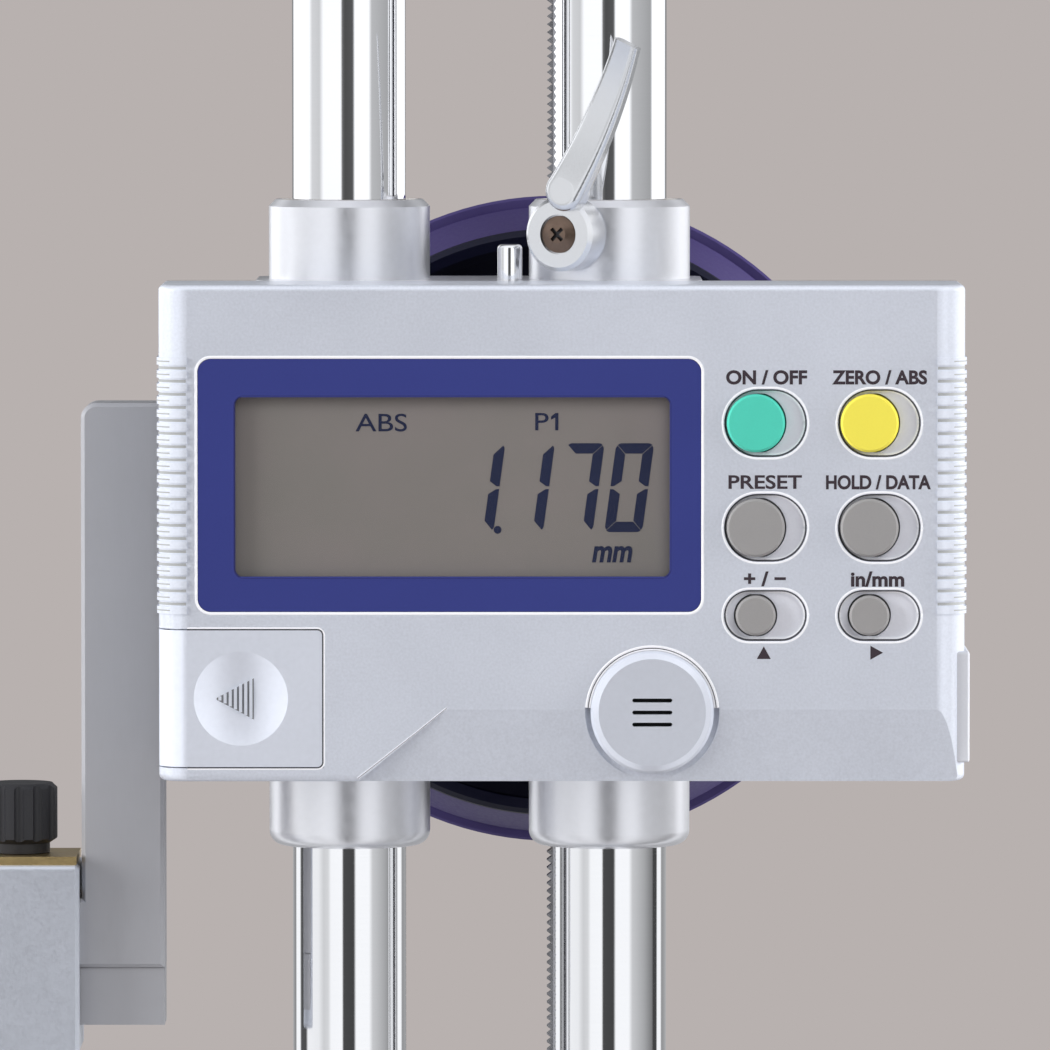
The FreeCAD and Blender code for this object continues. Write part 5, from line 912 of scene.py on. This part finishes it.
def make_port_cover():
    """Data port cover, seen past the rounded side."""
    low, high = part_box("data_port_cover")
    low, high = low / MM, high / MM
    low.y = PORT_FRONT
    mesh = bpy.data.meshes.new("port_cover_shell")
    shape = bmesh.new()
    bmesh.ops.create_cube(shape, size=1.0)
    for vertex in shape.verts:
        for axis in range(3):
            share = vertex.co[axis] + 0.5
            vertex.co[axis] = (low[axis] + (high[axis] - low[axis]) * share) * MM
    bmesh.ops.bevel(shape, geom=shape.edges[:], offset=PORT_BEVEL * MM, segments=3, profile=0.5,
                    affect="EDGES")
    shape.to_mesh(mesh)
    shape.free()
    mesh.materials.append(MATERIALS["port"])
    piece = bpy.data.objects.new("port_cover_shell", mesh)
    bpy.context.scene.collection.objects.link(piece)
    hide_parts("data_port_cover")
    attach(piece, "data_port_cover")


# Stage, light and camera

# Floor, in metres: its radius, and where it fades to the background
FLOOR_RADIUS = 8.0
FADE_START = 0.7
FADE_END = 1.3
FLOOR_CORNERS = 96


def make_floor():
    """Large pale disc; far from the part it has the background's own colour."""
    bpy.ops.mesh.primitive_circle_add(vertices=FLOOR_CORNERS, radius=FLOOR_RADIUS,
                                      fill_type="NGON")
    floor = bpy.context.object
    floor.name = "floor"
    material, tree, shader = new_material("floor")
    shader.inputs["Roughness"].default_value = 0.9
    shader.inputs["Specular IOR Level"].default_value = 0.1
    shader.inputs["Base Color"].default_value = shade(BACKGROUND, 1.06)
    glow = tree.nodes.new("ShaderNodeEmission")
    glow.inputs["Color"].default_value = BACKGROUND
    source = tree.nodes.new("ShaderNodeTexCoord")
    length = tree.nodes.new("ShaderNodeVectorMath")
    length.operation = "LENGTH"
    tree.links.new(source.outputs["Object"], length.inputs[0])
    fade = tree.nodes.new("ShaderNodeMapRange")
    fade.interpolation_type = "SMOOTHSTEP"
    fade.inputs["From Min"].default_value = FADE_START
    fade.inputs["From Max"].default_value = FADE_END
    tree.links.new(length.outputs["Value"], fade.inputs["Value"])
    mix = tree.nodes.new("ShaderNodeMixShader")
    tree.links.new(fade.outputs["Result"], mix.inputs["Fac"])
    tree.links.new(shader.outputs["BSDF"], mix.inputs[1])
    tree.links.new(glow.outputs["Emission"], mix.inputs[2])
    tree.links.new(mix.outputs["Shader"], tree.nodes["Material Output"].inputs["Surface"])
    floor.data.materials.append(material)
    floor.visible_glossy = False


# What polished metal sees round the compass: azimuth in degrees from the reader's side, brightness
LEVEL_BANDS = (
    (-180, 0.2), (-156, 0.3), (-149, 1.6), (-96, 1.5), (-80, 0.7), (-62, 0.64), (-53, 1.1),
    (-16, 1.1), (-13.5, 0.16), (-8, 0.08), (8, 0.1), (10, 0.5), (12, 1.15), (40, 1.15), (47, 0.52),
    (92, 0.38), (97, 1.2), (148, 1.3), (156, 0.3), (180, 0.2),
)
DIPPING_BANDS = (
    (-180, 0.5), (-143, 0.25), (-138, 1.0), (-122, 1.0), (-117, 0.09), (-100, 0.08), (-94, 0.95),
    (-66, 0.9), (-54, 0.66), (-44, 0.72), (-38, 1.0), (-15, 1.02), (-12.5, 0.07), (9, 0.06),
    (11.5, 0.6), (13, 1.02), (40, 1.02), (48, 0.62), (75, 0.42), (98, 0.2), (101, 0.06),
    (112, 0.06), (115, 1.0), (128, 1.0), (134, 0.3), (180, 0.5),
)
DIP_START = -0.036
DIP_END = -0.066
OVERHEAD_START = 0.3
OVERHEAD_END = 0.65

# Brightness above the bands for polished metal, and of the soft light for everything else
ABOVE_REAR = (0.15, 0.15, 0.155, 1)
ABOVE_FRONT = (1.0, 1.01, 1.05, 1)
SOFT_REAR = (0.34, 0.345, 0.36, 1)
SOFT_FRONT = (0.63, 0.635, 0.655, 1)
SOFT_ZENITH = (0.12, 0.12, 0.125, 1)


def banded(tree, share, bands):
    """Colours of a band table, looked up by the share of the way round."""
    ramp = tree.nodes.new("ShaderNodeValToRGB")
    stops = ramp.color_ramp.elements
    while len(stops) < len(bands):
        stops.new(1.0)
    for stop, (angle, bright) in zip(stops, bands):
        stop.position = (angle + 180) / 360
        stop.color = (bright * 0.97, bright * 0.98, bright, 1)
    tree.links.new(share, ramp.inputs["Fac"])
    return ramp.outputs["Color"]


def ranged(tree, value, start, end):
    """Where a value lies between two limits, as 0 to 1."""
    node = tree.nodes.new("ShaderNodeMapRange")
    node.inputs["From Min"].default_value = start
    node.inputs["From Max"].default_value = end
    tree.links.new(value, node.inputs["Value"])
    return node.outputs["Result"]


def make_world():
    """Background for the eye, banded studio for polished metal, even light for the rest."""
    world = bpy.data.worlds.new("studio")
    bpy.context.scene.world = world
    world.use_nodes = True
    tree = world.node_tree
    background = tree.nodes["Background"]
    source = tree.nodes.new("ShaderNodeTexCoord")
    parts = tree.nodes.new("ShaderNodeSeparateXYZ")
    tree.links.new(source.outputs["Generated"], parts.inputs["Vector"])
    towards = tree.nodes.new("ShaderNodeMath")
    towards.operation = "MULTIPLY"
    towards.inputs[1].default_value = -1.0
    tree.links.new(parts.outputs["Y"], towards.inputs[0])
    azimuth = tree.nodes.new("ShaderNodeMath")
    azimuth.operation = "ARCTAN2"
    tree.links.new(parts.outputs["X"], azimuth.inputs[0])
    tree.links.new(towards.outputs[0], azimuth.inputs[1])
    share = ranged(tree, azimuth.outputs[0], -math.pi, math.pi)
    dip = ranged(tree, parts.outputs["Z"], DIP_START, DIP_END)
    bands = mix_colour(tree, dip, banded(tree, share, LEVEL_BANDS),
                       banded(tree, share, DIPPING_BANDS))
    height = ranged(tree, parts.outputs["Z"], OVERHEAD_START, OVERHEAD_END)
    above = mix_colour(tree, ranged(tree, towards.outputs[0], -0.5, 0.2), ABOVE_REAR, ABOVE_FRONT)
    overhead = mix_colour(tree, height, bands, above)
    path = tree.nodes.new("ShaderNodeLightPath")
    front = ranged(tree, towards.outputs[0], -0.3, 0.9)
    level = mix_colour(tree, front, SOFT_REAR, SOFT_FRONT)
    zenith = ranged(tree, parts.outputs["Z"], 0.35, 0.95)
    soft = mix_colour(tree, zenith, level, SOFT_ZENITH)
    seen = mix_colour(tree, path.outputs["Is Glossy Ray"], soft, overhead)
    seen = mix_colour(tree, path.outputs["Is Camera Ray"], seen, BACKGROUND)
    seen = mix_colour(tree, path.outputs["Is Transmission Ray"], seen, BACKGROUND)
    tree.links.new(seen, background.inputs["Color"])


def add_lamp(name, place, target, size, power):
    """A soft area lamp aimed at a point; it doesn't show in polished metal."""
    data = bpy.data.lights.new(name, "AREA")
    data.shape = "SQUARE"
    data.size = size
    data.energy = power
    lamp = bpy.data.objects.new(name, data)
    bpy.context.scene.collection.objects.link(lamp)
    lamp.location = place
    aim = Vector(target) - Vector(place)
    lamp.rotation_euler = aim.to_track_quat("-Z", "Y").to_euler()
    lamp.visible_glossy = False


# Lamps: name, place in metres, side of the square in metres, power in watts
LAMPS = (
    ("left_lamp", (-3.2, -0.84, 0.77), 2.0, 172.0),
    ("right_lamp", (2.6, -0.05, 0.6), 1.2, 110.0),
    ("key_lamp", (0.6, -0.95, 1.15), 0.7, 6.5),
    ("rear_lamp", (0.3, 1.6, 1.3), 1.0, 6.0),
)
LAMP_TARGET = (0.0, 0.0, 0.235)


def make_lights():
    """Two side lamps that light the rounded edges, a key lamp in front and one behind."""
    for name, place, size, power in LAMPS:
        add_lamp(name, place, LAMP_TARGET, size, power)


def make_camera():
    """Camera at the photograph's viewing angle."""
    data = bpy.data.cameras.new("camera")
    data.lens = LENS
    data.sensor_width = SENSOR
    data.clip_end = 100.0
    camera = bpy.data.objects.new("camera", data)
    bpy.context.scene.collection.objects.link(camera)
    distance = CAMERA_DISTANCE * MM
    camera.location = (CENTRE_X * MM, -distance * math.cos(CAMERA_TILT),
                       CENTRE_Z * MM + distance * math.sin(CAMERA_TILT))
    camera.rotation_euler = (math.pi / 2 - CAMERA_TILT, 0, 0)
    bpy.context.scene.camera = camera


make_camera()
make_world()
make_lights()
make_floor()
dress_nodes()
make_labels()
make_lid_arrow()
make_lock_cross()
make_lcd()
make_slot_rims()
make_bezel_lip()
make_window_lip()
make_lid_lip()
make_bend_line()
make_cap_lip()
make_grip_furrows()
make_port_cover()

bpy.context.scene.view_settings.view_transform = "Standard"
